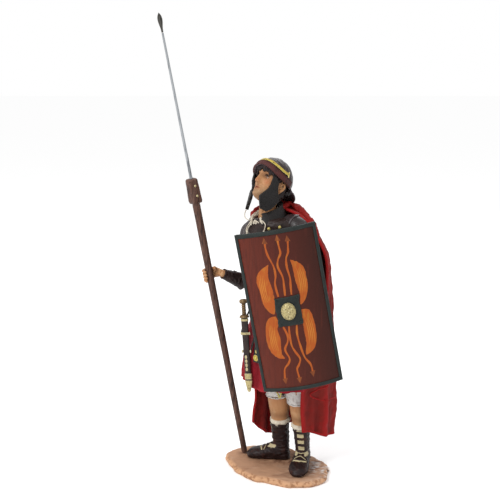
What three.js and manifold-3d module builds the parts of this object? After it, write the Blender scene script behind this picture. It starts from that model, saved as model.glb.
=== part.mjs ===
// A painted clay crib figure of a Roman legionary with a curved shield and a long pilum.
// Millimetres, +Z up. The origin is the centre of the base's underside. The viewer stands at -Y,
// the soldier looks to the viewer's left and up.
import * as THREE from 'three';
import { mergeVertices } from 'three/addons/utils/BufferGeometryUtils.js';
import Module from 'manifold-3d';

const wasm = await Module();
wasm.setup();

// Driving dimensions

const GAP = 0.3; // clearance between neighbouring pieces

const BASE_LONG = 110; // base outline, long way
const BASE_SHORT = 76; // base outline, short way
const BASE_THICK = 6;
const BASE_TURN = 42; // degrees from the long way of the outline to +X

const FIGURE_HEIGHT = 290; // boot soles to helmet crown
const LEATHER = 2.2; // armour leather
const CLOTH = 1.8; // stiffened cloth of skirt and cloak
const GUARD_THICK = 1.8; // shoulder guards

const SHIELD_HEIGHT = 138.4;
const SHIELD_CHORD = 67.7; // straight width, edge to edge
const SHIELD_RADIUS = 59; // curve of the outer face
const SHIELD_BOARD = 2.4;
const SHIELD_RIM_WIDTH = 3;
const SHIELD_RIM_WALL = 1; // rim proud of the board, clearance included
const BOSS_PLATE_WIDTH = 21;
const BOSS_PLATE_HEIGHT = 25;
const BOSS_PLATE_THICK = 1;
const BOSS_WIDTH = 12.6;
const BOSS_HEIGHT = 15.2;
const BOSS_RISE = 4;
const GRIP_RADIUS = 1.6; // shield hand grip
const GRIP_STANDOFF = 9; // board back to grip centreline
const GRIP_LENGTH = 26;

const SHAFT_RADIUS_BUTT = 2.7; // pilum shaft
const SHAFT_RADIUS_TOP = 3.5;
const SHAFT_LENGTH = 250.5;
const BLOCK_LENGTH = 22; // pilum block
const BLOCK_WIDTH_LOW = 9.6;
const BLOCK_WIDTH_TOP = 8.4;
const RIVET_RADIUS = 1.1;
const RIVET_RISE = 0.6;
const SHANK_LENGTH = 127;
const SHANK_RADIUS_LOW = 1.35;
const SHANK_RADIUS_TOP = 0.9;
const POINT_LENGTH = 16.5;
const POINT_WIDTH = 4.2;
const POINT_THICK = 1.8;

const SCABBARD_WIDTH = 7.4;
const SCABBARD_THICK = 3;
const SCABBARD_LENGTH = 56;
const CHAPE_LENGTH = 11;
const HILT_LENGTH = 17;
const HILT_RADIUS = 1.9;

const STRAP_WIDTH = 5;
const STRAP_THICK = 1;
const STRAP_LENGTH = 34;
const PENDANT_RADIUS = 2.9;
const BELT_HEIGHT = 9;
const BELT_THICK = 1.4;
const STUD_RADIUS = 1.2;
const SCARF_RADIUS = 2.5; // rolled neck scarf
const LACE_RADIUS = 0.7;
const HELMET_WALL = 1.6;
const BAND_THICK = 0.9;
const BROW_BAND_WIDTH = 4.4;
const BRASS_BAND_WIDTH = 2.7;
const CHEEK_THICK = 1.2;
const TIE_RADIUS = 0.45;

// The figure's pose, as shares of its height with the soles at 0

const UNIT = FIGURE_HEIGHT / 290;
const point = (x, y, z) => new THREE.Vector3(x, y, z).multiplyScalar(UNIT);
const turned = (degrees) => {
  const angle = THREE.MathUtils.degToRad(degrees);
  return new THREE.Vector3(Math.cos(angle), Math.sin(angle), 0);
};

const STANCE = point(5.5, -2.8, 0); // the figure's place on the base
const BODY_YAW = -42; // direction of the soldier's left side, degrees from +X
const LEFTWARD = turned(BODY_YAW);
const UP = new THREE.Vector3(0, 0, 1);

const JOINTS = {
  ankleRight: point(-1, 13, 17),
  kneeRight: point(-6, 4, 80),
  hipRight: point(-13, 9, 136),
  ankleLeft: point(18, -1, 17),
  kneeLeft: point(13, -9, 80),
  hipLeft: point(5, -7, 136),
  shoulderRight: point(-30, 20, 215),
  elbowRight: point(-29, 19, 166),
  wristRight: point(-57, 5, 180),
  shoulderLeft: point(11, -15, 224),
  elbowLeft: point(26, -8, 178),
  head: point(-12.2, -2, 262.6),
};
const HEAD_YAW = -139; // compass direction of the face, degrees from +X
const HEAD_PITCH = 30; // face raised above the horizon, degrees
const FOOT_YAW_RIGHT = 170;
const FOOT_YAW_LEFT = -102;

// The pilum leans from its butt on the base through the right hand
const PILUM_BUTT = point(-36, 26, 0);
const PILUM_DIRECTION = new THREE.Vector3(-0.1745, -0.1324, 1).normalize();
const PILUM_GRIP_HEIGHT = 183 * UNIT;

// The shield hangs in front of the left hand, leaning to the viewer's left and facing a little left
const SHIELD_FACE = point(1.7, -58, 159.8); // centre of the outer face
const SHIELD_YAW = -4.3;
const SHIELD_LEAN = 10.6;

// The sword hangs beside the right thigh
const SWORD_GUARD = point(-36, -11, 142);
const SWORD_TIP = point(-31.5, -22, 75);

// Mesh helpers

const blend = (stations, t) => {
  const last = stations.length - 1;
  const at = Math.min(Math.max(t, 0), 1) * last;
  const index = Math.min(Math.floor(at), last - 1);
  const f = at - index;
  const pick = (i) => stations[Math.min(Math.max(i, 0), last)];
  const [before, from, to, after] = [pick(index - 1), pick(index), pick(index + 1), pick(index + 2)];
  const result = {};
  for (const key of Object.keys(from)) {
    const [a, b, c, d] = [before[key], from[key], to[key], after[key]];
    result[key] = 0.5 * (2 * b + (c - a) * f + (2 * a - 5 * b + 4 * c - d) * f * f
      + (3 * b - a - 3 * c + d) * f * f * f);
  }
  return result;
};

function closedGeometry(vertices, faces) {
  let volume = 0;
  for (const [a, b, c] of faces) {
    volume += vertices[a].dot(vertices[b].clone().cross(vertices[c]));
  }
  const outward = volume > 0 ? faces : faces.map(([a, b, c]) => [a, c, b]);
  const geometry = new THREE.BufferGeometry().setFromPoints(vertices);
  geometry.setIndex(outward.flat());
  return geometry;
}

// Rings of equal point counts joined in order and closed by a fan at each end
function loft(rings, start, end) {
  const count = rings[0].length;
  const vertices = [...rings.flat(), start, end];
  const faces = [];
  for (let j = 0; j + 1 < rings.length; j++) {
    for (let i = 0; i < count; i++) {
      const [a, b] = [j * count + i, j * count + (i + 1) % count];
      faces.push([a, b, b + count], [a, b + count, a + count]);
    }
  }
  const [first, final, top] = [rings.length * count, rings.length * count + 1, (rings.length - 1) * count];
  for (let i = 0; i < count; i++) {
    const next = (i + 1) % count;
    faces.push([first, next, i], [final, top + i, top + next]);
  }
  return closedGeometry(vertices, faces);
}

// Rings of equal point counts joined into one closed loop
function loop(rings) {
  const [count, sides] = [rings.length, rings[0].length];
  const faces = [];
  for (let j = 0; j < count; j++) {
    for (let i = 0; i < sides; i++) {
      const [a, b] = [j * sides + i, j * sides + ((i + 1) % sides)];
      const next = (((j + 1) % count) - j) * sides;
      faces.push([a, b, b + next], [a, b + next, a + next]);
    }
  }
  return closedGeometry(rings.flat(), faces);
}

// A wall between an outer and an inner grid of points, [row][column]; a ring if closed is true
function shell(outer, inner, closed) {
  const [rows, columns] = [outer.length, outer[0].length];
  const vertices = [...outer.flat(), ...inner.flat()];
  const inside = rows * columns;
  const faces = [];
  const quad = (a, b, c, d) => faces.push([a, b, c], [a, c, d]);
  const spans = closed ? columns : columns - 1;
  for (let j = 0; j + 1 < rows; j++) {
    for (let i = 0; i < spans; i++) {
      const [a, b] = [j * columns + i, j * columns + (i + 1) % columns];
      quad(a, b, b + columns, a + columns);
      quad(a + inside, a + columns + inside, b + columns + inside, b + inside);
    }
  }
  const last = (rows - 1) * columns;
  for (let i = 0; i < spans; i++) {
    const next = (i + 1) % columns;
    quad(i, i + inside, next + inside, next);
    quad(last + i, last + next, last + next + inside, last + i + inside);
  }
  if (!closed) {
    for (let j = 0; j + 1 < rows; j++) {
      const [a, b] = [j * columns, (j + 1) * columns];
      quad(a, b, b + inside, a + inside);
      const [c, d] = [a + columns - 1, b + columns - 1];
      quad(c, c + inside, d + inside, d);
    }
  }
  return closedGeometry(vertices, faces);
}

function asSolid(geometry) {
  const bare = geometry.clone();
  bare.deleteAttribute('normal');
  bare.deleteAttribute('uv');
  const welded = mergeVertices(bare, 1e-4);
  return new wasm.Manifold(new wasm.Mesh({
    numProp: 3,
    vertProperties: new Float32Array(welded.attributes.position.array),
    triVerts: new Uint32Array(welded.index.array),
  }));
}

// The largest body of a solid, as a geometry
function asGeometry(solid) {
  const bodies = solid.decompose().sort((a, b) => b.volume() - a.volume());
  const mesh = bodies[0].getMesh();
  const geometry = new THREE.BufferGeometry();
  geometry.setAttribute('position', new THREE.BufferAttribute(mesh.vertProperties, 3));
  geometry.setIndex(new THREE.BufferAttribute(mesh.triVerts, 1));
  return geometry;
}

const joined = (geometries) => geometries.map(asSolid).reduce((all, next) => all.add(next));

function mesh(name, geometry, material) {
  geometry.computeVertexNormals();
  const piece = new THREE.Mesh(geometry, material);
  piece.name = name;
  return piece;
}

// A rounded limb through stations { at, wide, deep }; side is the direction of its width
function limb(stations, { side = LEFTWARD, segments = 8, steps = 4, grow = 0, round = [0, 0] } = {}) {
  const path = new THREE.CatmullRomCurve3(stations.map(({ at }) => at), false, 'catmullrom', 0.5);
  const sizes = stations.map(({ wide, deep }) => ({ wide, deep }));
  const ringAt = (t, along, shrink) => {
    const [centre, tangent] = [path.getPoint(t), path.getTangent(t)];
    const across = side.clone().addScaledVector(tangent, -side.dot(tangent)).normalize();
    const other = tangent.clone().cross(across);
    const { wide, deep } = blend(sizes, t);
    centre.addScaledVector(tangent, along);
    return Array.from({ length: segments }, (_, i) => {
      const angle = (2 * Math.PI * i) / segments;
      return centre.clone()
        .addScaledVector(across, (wide + grow) * shrink * Math.cos(angle))
        .addScaledVector(other, (deep + grow) * shrink * Math.sin(angle));
    });
  };
  const rings = [];
  const [startRound, endRound] = [round[0] + grow, round[1] + grow];
  if (round[0] > 0) {
    rings.push(ringAt(0, -startRound * 0.8, 0.6));
  }
  for (let k = 0; k <= steps; k++) {
    rings.push(ringAt(k / steps, 0, 1));
  }
  if (round[1] > 0) {
    rings.push(ringAt(1, endRound * 0.8, 0.6));
  }
  const start = path.getPoint(0).addScaledVector(path.getTangent(0), -startRound);
  const end = path.getPoint(1).addScaledVector(path.getTangent(1), endRound);
  return loft(rings, start, end);
}

// Level sections around a leaning axis: { z, cx, cy, wide, deep, lift }, wide along the soldier's left
// and deep along the back; lift raises the left side
function stackPoint(stations, t, angle, offset, yaw = BODY_YAW) {
  const { z, cx, cy, wide, deep, lift } = blend(stations, t);
  const [left, back] = [turned(yaw), turned(yaw + 90)];
  return point(cx, cy, z + lift * Math.cos(angle))
    .addScaledVector(left, (wide * UNIT + offset) * Math.cos(angle))
    .addScaledVector(back, (deep * UNIT + offset) * Math.sin(angle));
}

function stack(stations, { segments = 16, steps = 5, grow = 0 } = {}) {
  const rings = Array.from({ length: steps + 1 }, (_, k) => Array.from({ length: segments }, (__, i) =>
    stackPoint(stations, k / steps, (2 * Math.PI * i) / segments, grow)));
  const centre = (ring) => ring.reduce((sum, p) => sum.add(p), new THREE.Vector3())
    .divideScalar(ring.length);
  const start = centre(rings[0]).addScaledVector(UP, -grow);
  const end = centre(rings[rings.length - 1]).addScaledVector(UP, grow);
  return loft(rings, start, end);
}

const arc = (count, from, to) =>
  Array.from({ length: count + 1 }, (_, i) => from + ((to - from) * i) / count);

// Base

function baseOutline(angle, inset) {
  const axis = angle + THREE.MathUtils.degToRad(BASE_TURN);
  const [a, b] = [BASE_LONG / 2, BASE_SHORT / 2];
  const oval = (a * b) / Math.hypot(b * Math.cos(axis), a * Math.sin(axis));
  const wave = 1.1 * Math.sin(5 * angle + 1) + 0.7 * Math.sin(9 * angle + 2.3) + 0.4 * Math.sin(17 * angle);
  return oval + wave - inset;
}

function baseGeometry() {
  const segments = 34;
  const levels = [
    { z: 0, inset: 1.2 },
    { z: BASE_THICK * 0.35, inset: 0 },
    { z: BASE_THICK * 0.75, inset: 0.6 },
    { z: BASE_THICK, inset: 3 },
  ];
  const rings = levels.map(({ z, inset }) => Array.from({ length: segments }, (_, i) => {
    const angle = (2 * Math.PI * i) / segments;
    const r = baseOutline(angle, inset);
    return new THREE.Vector3(r * Math.cos(angle), r * Math.sin(angle), z);
  }));
  return loft(rings, new THREE.Vector3(0, 0, 0), new THREE.Vector3(0, 0, BASE_THICK));
}

// Torso, armour and skirt share one stack of sections

const TORSO = [
  { z: 128, cx: -4, cy: 1, wide: 20, deep: 15, lift: 0 },
  { z: 142, cx: -5, cy: 1, wide: 22, deep: 16.5, lift: 0 },
  { z: 156, cx: -6, cy: 2, wide: 20.5, deep: 15, lift: 0 },
  { z: 176, cx: -8, cy: 3, wide: 23, deep: 17, lift: 1 },
  { z: 196, cx: -10, cy: 3, wide: 26, deep: 19, lift: 3 },
  { z: 212, cx: -10, cy: 3, wide: 27, deep: 18.5, lift: 4.5 },
  { z: 224, cx: -13, cy: 0, wide: 20, deep: 16, lift: 4 },
  { z: 231, cx: -15, cy: -2, wide: 10, deep: 11, lift: 1 },
];

const CUIRASS = [
  { z: 146, cx: -5.4, cy: 1.4, wide: 22, deep: 16.5, lift: 0 },
  { z: 156, cx: -6, cy: 2, wide: 20.9, deep: 15.4, lift: 0 },
  { z: 176, cx: -8, cy: 3, wide: 23.4, deep: 17.4, lift: 1 },
  { z: 196, cx: -10, cy: 3, wide: 26.6, deep: 19.6, lift: 3 },
  { z: 212, cx: -10, cy: 3, wide: 28.6, deep: 19.4, lift: 4.5 },
  { z: 224, cx: -13, cy: 0, wide: 25, deep: 17.6, lift: 6 },
  { z: 232, cx: -15.5, cy: -2, wide: 13.5, deep: 13, lift: 1.5 },
];

const BELT = [
  { z: 146 - BELT_HEIGHT / 2, cx: -5.2, cy: 1.2, wide: 27.6, deep: 21.8, lift: 0 },
  { z: 146 + BELT_HEIGHT / 2, cx: -5.4, cy: 1.4, wide: 26.2, deep: 20.6, lift: 0 },
];

const SKIRT = [
  { z: 144, cx: -5.2, cy: 1.2, wide: 23.4, deep: 18, lift: 0 },
  { z: 134, cx: -5, cy: 1, wide: 26.4, deep: 20.6, lift: 0 },
  { z: 118, cx: -4.6, cy: 0.4, wide: 30, deep: 24.5, lift: 0 },
  { z: 98, cx: -4.4, cy: 0, wide: 32.4, deep: 27, lift: 0 },
  { z: 80, cx: -4.2, cy: 0, wide: 34, deep: 28.4, lift: 0 },
];

// Pleats deepen towards the hem, and the hem rises and falls
function skirtPoint(t, angle, offset) {
  const fold = Math.sin(13 * angle + 0.9 * Math.sin(3 * angle)) + 0.45 * Math.sin(7 * angle + 1.3);
  const depth = 1.5 * UNIT * Math.pow(t, 0.8);
  const place = stackPoint(SKIRT, t, angle, offset + depth * fold);
  place.z += UNIT * t * t * (1.6 * Math.sin(2 * angle + 0.6) + 0.9 * Math.sin(5 * angle));
  return place;
}

// Rows of points over a surface given as (share down, angle, offset)
const rowsOver = (surface, shares, angles, offset) =>
  shares.map((t) => angles.map((angle) => surface(t, angle, offset)));

const fullTurn = (segments) => arc(segments, 0, 2 * Math.PI).slice(0, segments);

function skirtGeometry() {
  const grid = (offset) => rowsOver(skirtPoint, arc(3, 0, 1), fullTurn(40), offset);
  return shell(grid(GAP + CLOTH), grid(GAP), true);
}

// The skirt filled in and grown, for what lies over it
function skirtBlock(offset) {
  const rows = rowsOver(skirtPoint, arc(3, 0, 1), fullTurn(40), GAP + CLOTH + offset);
  return loft(rows, point(-5.2, 1.2, 144), point(-4.2, 0, 80));
}

function beltGeometry() {
  const surface = (t, angle, offset) => stackPoint(BELT, t, angle, offset);
  const grid = (offset) => rowsOver(surface, [0, 1], fullTurn(22), offset);
  return shell(grid(BELT_THICK), grid(0), true);
}

const cuirassPoint = (t, angle, offset) => stackPoint(CUIRASS, t, angle, LEATHER + offset);

// A strip that follows a surface: angles and shares down it, an offset and a thickness
function strip(surface, shares, angles, offset, thick) {
  return shell(rowsOver(surface, shares, angles, offset + thick),
    rowsOver(surface, shares, angles, offset), false);
}

// Apron straps hang from under the belt over the front of the skirt, each with a brass pendant
const STRAP_ANGLES = [270, 281, 292].map(THREE.MathUtils.degToRad);
const STRAP_TOP = 0.14; // shares down the skirt
const STRAP_CLEAR = 2.4; // strap off the middle of the pleats
const strapEnd = STRAP_TOP + STRAP_LENGTH / (64 * UNIT);

function strapGeometry(angle) {
  const half = STRAP_WIDTH / (2 * 30 * UNIT);
  const smooth = (t, a, offset) => stackPoint(SKIRT, t, a, GAP + CLOTH + STRAP_CLEAR + offset);
  return strip(smooth, arc(3, STRAP_TOP, strapEnd), arc(1, angle - half, angle + half), 0, STRAP_THICK);
}

// A small brass drop on the strap's lower end
function pendantGeometry(angle) {
  const at = stackPoint(SKIRT, strapEnd - 0.05, angle, GAP + CLOTH + STRAP_CLEAR + STRAP_THICK + GAP);
  const outward = turned(BODY_YAW + THREE.MathUtils.radToDeg(angle));
  const r = PENDANT_RADIUS;
  const profile = [[0, 0], [r, 0], [r * 0.86, 0.7], [r * 0.4, 1.3], [0, 1.5]];
  const disc = new THREE.LatheGeometry(profile.map(([x, y]) => new THREE.Vector2(x, y)), 6);
  const turn = new THREE.Quaternion().setFromUnitVectors(new THREE.Vector3(0, 1, 0), outward);
  return disc.applyMatrix4(new THREE.Matrix4().compose(at, turn, new THREE.Vector3(1, 1, 1)));
}

// Head

const headFrame = () => {
  const level = turned(HEAD_YAW);
  const pitch = THREE.MathUtils.degToRad(HEAD_PITCH);
  const forward = level.clone().multiplyScalar(Math.cos(pitch)).addScaledVector(UP, Math.sin(pitch));
  const right = forward.clone().cross(UP).normalize();
  const up = right.clone().cross(forward);
  return new THREE.Matrix4().makeBasis(right, forward, up).scale(new THREE.Vector3(UNIT, UNIT, UNIT))
    .setPosition(JOINTS.head);
};

// Half sections of the head: front and back reach, half width, at each height from chin to crown
const HEAD = [
  { z: -18.6, front: 11.5, back: -4, wide: 4.5 },
  { z: -16, front: 13.6, back: 2, wide: 7.4 },
  { z: -12, front: 13.8, back: 7, wide: 9.8 },
  { z: -7, front: 13.6, back: 12, wide: 11.4 },
  { z: -1, front: 13.8, back: 15.5, wide: 12.3 },
  { z: 5, front: 14.4, back: 16.2, wide: 12.4 },
  { z: 11, front: 12.6, back: 15, wide: 11.2 },
  { z: 16, front: 8.8, back: 10.6, wide: 8 },
  { z: 18.6, front: 3.6, back: 5, wide: 3.4 },
];

const bump = (value, centre, width) => Math.exp(-(((value - centre) / width) ** 2));

// Nose, brow, eye sockets, lips and chin as smooth rises of the face
function faceRise(x, z) {
  const bridge = Math.min(1, Math.max(0, (3.5 - z) / 8)) * (z > -6.6 ? 1 : bump(z, -6.6, 0.9));
  const nose = 4.2 * bump(x, 0, 2) * bridge;
  const brow = 1 * bump(z, 4.4, 2) * bump(Math.abs(x), 4.5, 4.5);
  const socket = -1.5 * bump(z, 0.8, 2.2) * bump(Math.abs(x), 5, 2.4);
  const lips = 1 * bump(x, 0, 3.8) * (bump(z, -9.6, 1) + bump(z, -11.8, 1));
  const chin = 1.2 * bump(x, 0, 3.6) * bump(z, -16, 2.4);
  return nose + brow + socket + lips + chin;
}

function headGeometry() {
  const [segments, steps] = [18, 12];
  const ring = (t) => {
    const { z, front, back, wide } = blend(HEAD, t);
    return Array.from({ length: segments }, (_, i) => {
      const angle = (2 * Math.PI * i) / segments;
      const x = wide * Math.cos(angle);
      const facing = Math.sin(angle);
      const y = facing > 0 ? front * facing + faceRise(x, z) * facing : back * facing;
      return new THREE.Vector3(x, y, z);
    });
  };
  const rings = arc(steps, 0, 1).map(ring);
  return loft(rings, new THREE.Vector3(0, 5, -19), new THREE.Vector3(0, 0, 19.2));
}

const ball = (x, y, z, sx, sy, sz) => new THREE.SphereGeometry(1, 5, 3)
  .applyMatrix4(new THREE.Matrix4().makeScale(sx, sy, sz).setPosition(x, y, z));

function hairTufts() {
  const fringe = arc(5, -60, 60).map((degrees, i) => {
    const angle = THREE.MathUtils.degToRad(90 + degrees);
    return ball(10.9 * Math.cos(angle), 12.6 * Math.sin(angle), 8 + 0.8 * (i % 2), 2.1, 1.7, 2.8);
  });
  const nape = arc(3, -58, 58).map((degrees) => {
    const angle = THREE.MathUtils.degToRad(270 + degrees);
    return ball(10.4 * Math.cos(angle), 12.6 * Math.sin(angle), -8, 2.6, 2.8, 4.8);
  });
  return [...fringe, ...nape];
}

function headSolid() {
  const ears = [-1, 1].map((side) => ball(12 * side, -3.2, -3, 1.5, 2.1, 3.6));
  return joined([headGeometry(), ...ears, ...hairTufts()].map((g) => g.applyMatrix4(headFrame())));
}

// Helmet, in the head's own frame: x right, y forward, z up

const CROWN = { wide: 16.8, long: 19.8, high: 19.6, y: 0.2, z: 3.2 }; // outer half sizes and centre
const inHead = (millimetres) => millimetres / UNIT;

// The rim runs level over the ears and rises over the brow
const rimHeight = (y) => 1.5 + (y > 0 ? 7.5 * (y / 19) ** 2 : 0.15 * y);

function bowlPoint(angle, elevation, offset) {
  const level = Math.cos(elevation);
  return new THREE.Vector3(
    (CROWN.wide + offset) * level * Math.cos(angle),
    CROWN.y + (CROWN.long + offset) * level * Math.sin(angle),
    CROWN.z + (CROWN.high + offset) * Math.sin(elevation),
  );
}

// Elevation on the bowl at a given rise above the rim
function rimElevation(angle, rise) {
  let elevation = 0;
  for (let pass = 0; pass < 20; pass++) {
    const height = rimHeight(bowlPoint(angle, elevation, 0).y) + rise - CROWN.z;
    elevation = 0.5 * elevation + 0.5 * Math.asin(Math.min(Math.max(height / CROWN.high, -0.9), 0.9));
  }
  return elevation;
}

function helmetSolid() {
  const angles = fullTurn(16);
  const ring = (share, offset) => angles.map((angle) =>
    bowlPoint(angle, THREE.MathUtils.lerp(rimElevation(angle, 0), Math.PI / 2, share), offset));
  const shares = [0, 0.28, 0.56, 0.82];
  const wall = -inHead(HELMET_WALL);
  const rings = [
    ...shares.toReversed().map((share) => ring(share, 0)),
    ...shares.map((share) => ring(share, wall)),
  ];
  const bowl = loft(rings, bowlPoint(0, Math.PI / 2, 0), bowlPoint(0, Math.PI / 2, wall));
  const guardPoint = (t, angle, offset) => {
    const shape = Math.cos((angle - 1.5 * Math.PI) * 1.5) ** 0.6;
    const outward = new THREE.Vector3(Math.cos(angle), Math.sin(angle), 0);
    return bowlPoint(angle, rimElevation(angle, 2), offset - 0.2)
      .addScaledVector(outward, 8.5 * t ** 1.6 * shape)
      .add(new THREE.Vector3(0, 0, -1.5 * t - 5 * t * shape));
  };
  const guard = strip(guardPoint, [0, 0.5, 1], arc(6, 220, 320).map(THREE.MathUtils.degToRad),
    -inHead(HELMET_WALL * 0.8), inHead(HELMET_WALL * 0.8));
  return asSolid(bowl).add(asSolid(guard));
}

// Bands on the bowl: the lower edge's rise above the rim and the reach to each side in degrees
const BROW_BAND = { rise: 0.5, reach: 112 };
const BRASS_BAND = { rise: 6.6, reach: 94 };

function bandGeometry({ rise: low, reach }, width) {
  const high = low + inHead(width);
  const surface = (rise, angle, offset) => bowlPoint(angle, rimElevation(angle, rise), offset);
  const angles = arc(14, 90 - reach, 90 + reach).map(THREE.MathUtils.degToRad);
  return strip(surface, [low, high], angles, inHead(GAP + 0.1), inHead(BAND_THICK));
}

// Cheek guards hang from the rim: edges and outward reach at each height
const CHEEK = [
  { z: 4, back: 4.6, front: 10.8, out: 14.4 },
  { z: -4, back: 1.8, front: 9.9, out: 14.1 },
  { z: -9.5, back: -1.8, front: 10.6, out: 13.7 },
  { z: -14.5, back: -4.6, front: 13.4, out: 13.3 },
  { z: -19.5, back: -0.6, front: 15.2, out: 12.9 },
  { z: -28, back: 6.8, front: 8.8, out: 12.4 },
];

// The left guard lies along the jaw; the right one hangs loose and twists as it falls
const CHEEK_HANG = {
  left: { side: -1, swing: -0.6, loose: 0, twist: 0 },
  right: { side: 1, swing: 4.2, loose: 1, twist: THREE.MathUtils.degToRad(53) },
};

function cheekPoint({ side, swing, loose, twist }, t, across, offset) {
  const { z, back, front, out } = blend(CHEEK, t);
  const turn = twist * Math.min(1, 2.5 * t);
  const reach = (across - 0.5) * (front - back);
  const middle = THREE.MathUtils.lerp((back + front) / 2, 8 - 6 * t, loose);
  const bend = 1.8 * (1 - loose) * across * across;
  const y = middle + reach * Math.cos(turn) + offset * Math.sin(turn);
  const top = rimHeight(middle + reach) - 2 * inHead(GAP) - 4;
  return new THREE.Vector3(
    side * (out + swing * t + offset * Math.cos(turn) - reach * Math.sin(turn) - bend),
    y,
    z + top * Math.max(0, 1 - 2 * t),
  );
}

function cheekGeometry(hang) {
  const surface = (t, across, offset) => cheekPoint(hang, t, across, offset);
  return strip(surface, arc(6, 0, 1), arc(3, 0, 1), -inHead(CHEEK_THICK), inHead(CHEEK_THICK));
}

// Arms and hands

const ARM_RADIUS = 8.2 * UNIT; // sleeve at the shoulder
const WRIST_RADIUS = 3.3 * UNIT;
const FINGER_RADIUS = 1.45 * UNIT;

function upperArm(shoulder, elbow, grow) {
  const middle = shoulder.clone().lerp(elbow, 0.5);
  return limb([
    { at: shoulder, wide: ARM_RADIUS, deep: ARM_RADIUS },
    { at: middle, wide: 7.6 * UNIT, deep: 7.6 * UNIT },
    { at: elbow, wide: 7.2 * UNIT, deep: 7 * UNIT },
  ], { grow, steps: 3, round: [ARM_RADIUS * 0.45, 5 * UNIT] });
}

function forearm(elbow, wrist, grow) {
  return limb([
    { at: elbow, wide: 5.8 * UNIT, deep: 5.8 * UNIT },
    { at: elbow.clone().lerp(wrist, 0.45), wide: 5 * UNIT, deep: 5 * UNIT },
    { at: wrist, wide: WRIST_RADIUS, deep: WRIST_RADIUS },
  ], { side: UP, grow, steps: 3, round: [4 * UNIT, 1.5 * UNIT] });
}

// A leather cuff that flares towards the elbow
function vambraceBlank(elbow, wrist) {
  const along = (share) => elbow.clone().lerp(wrist, share);
  return limb([
    { at: along(0.3), wide: 8 * UNIT, deep: 8 * UNIT },
    { at: along(0.42), wide: 6.9 * UNIT, deep: 6.9 * UNIT },
    { at: along(0.95), wide: WRIST_RADIUS + LEATHER * 0.5, deep: WRIST_RADIUS + LEATHER * 0.5 },
  ], { side: UP, steps: 5 });
}

// A hand closed round a bar: the bar runs along local Z, the wrist lies towards local +X
function gripFrame(centre, bar, wrist) {
  const toWrist = wrist.clone().sub(centre);
  const across = toWrist.addScaledVector(bar, -toWrist.dot(bar)).normalize();
  return new THREE.Matrix4().makeBasis(across, bar.clone().cross(across), bar).setPosition(centre);
}

function handSolid(frame, wrist, barRadius) {
  const local = wrist.clone().applyMatrix4(frame.clone().invert());
  const reach = barRadius + GAP + FINGER_RADIUS;
  const around = (degrees, z, r = reach) => {
    const angle = THREE.MathUtils.degToRad(degrees);
    return new THREE.Vector3(r * Math.cos(angle), r * Math.sin(angle), z);
  };
  const palm = limb([
    { at: local, wide: WRIST_RADIUS, deep: WRIST_RADIUS * 0.9 },
    { at: around(38, local.z * 0.35, reach + 3.2 * UNIT), wide: 5 * UNIT, deep: 2.9 * UNIT },
    { at: around(88, 0, reach + 1.4 * UNIT), wide: 5.9 * UNIT, deep: 2.3 * UNIT },
    { at: around(118, 0, reach + 0.3 * UNIT), wide: 5.6 * UNIT, deep: 1.8 * UNIT },
  ], { side: UP, segments: 6, steps: 3, round: [1, 1] });
  const fingers = arc(3, -4.5, 4.5).map((z) => limb(
    [100, 140, 180, 214].map((degrees) => ({
      at: around(degrees, z * UNIT), wide: FINGER_RADIUS, deep: FINGER_RADIUS,
    })),
    { side: UP, segments: 4, steps: 3, round: [0, 1] },
  ));
  const thumb = limb([
    { at: around(48, 2 * UNIT, reach + 2.2 * UNIT), wide: 2.2 * UNIT, deep: 2.2 * UNIT },
    { at: around(14, 4.2 * UNIT, reach + 0.8 * UNIT), wide: 1.9 * UNIT, deep: 1.9 * UNIT },
    { at: around(-24, 6.4 * UNIT, reach + 0.4 * UNIT), wide: 1.5 * UNIT, deep: 1.5 * UNIT },
  ], { side: UP, segments: 4, steps: 2, round: [0, 1] });
  return joined([palm, ...fingers, thumb].map((g) => g.applyMatrix4(frame)));
}

// Legs, socks and boots

function leg(hip, knee, ankle, hemShare, toward, grow) {
  const breeches = limb([
    { at: hip, wide: 12 * UNIT, deep: 12 * UNIT },
    { at: hip.clone().lerp(knee, 0.6), wide: 12 * UNIT, deep: 12 * UNIT },
    { at: knee.clone().lerp(ankle, hemShare), wide: 11.8 * UNIT, deep: 11.6 * UNIT },
  ], { side: toward, steps: 3, grow });
  const shin = limb([
    { at: knee, wide: 9.8 * UNIT, deep: 9.8 * UNIT },
    { at: knee.clone().lerp(ankle, 0.32), wide: 9.6 * UNIT, deep: 9.8 * UNIT },
    { at: knee.clone().lerp(ankle, 0.62), wide: 7.8 * UNIT, deep: 8 * UNIT },
    { at: ankle, wide: 6 * UNIT, deep: 6.6 * UNIT },
  ], { side: toward, steps: 4, grow });
  return [breeches, shin];
}

const BOOT_TOP = 38 * UNIT;

const FOOT = [
  { x: -7, wide: 3.4, top: 12 },
  { x: -4, wide: 6.4, top: 17 },
  { x: 4, wide: 7.2, top: 18 },
  { x: 13, wide: 7.8, top: 13.5 },
  { x: 22, wide: 8.8, top: 9.6 },
  { x: 29, wide: 7.4, top: 7.6 },
  { x: 32, wide: 4, top: 5 },
];

function foot(ankle, yaw) {
  const segments = 9;
  const rings = arc(6, 0, 1).map((t) => {
    const { x, wide, top } = blend(FOOT, t);
    return Array.from({ length: segments }, (_, i) => {
      const angle = (2 * Math.PI * i) / segments;
      const rise = Math.max(0, 0.45 * top + 0.55 * top * Math.sin(angle));
      return new THREE.Vector3(x, wide * Math.cos(angle), rise).multiplyScalar(UNIT);
    });
  });
  const [heel, toe] = [new THREE.Vector3(-8, 0, 4), new THREE.Vector3(33.6, 0, 2)];
  const place = new THREE.Matrix4().makeRotationZ(THREE.MathUtils.degToRad(yaw))
    .setPosition(ankle.x, ankle.y, 0);
  return loft(rings, heel.multiplyScalar(UNIT), toe.multiplyScalar(UNIT)).applyMatrix4(place);
}

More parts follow.
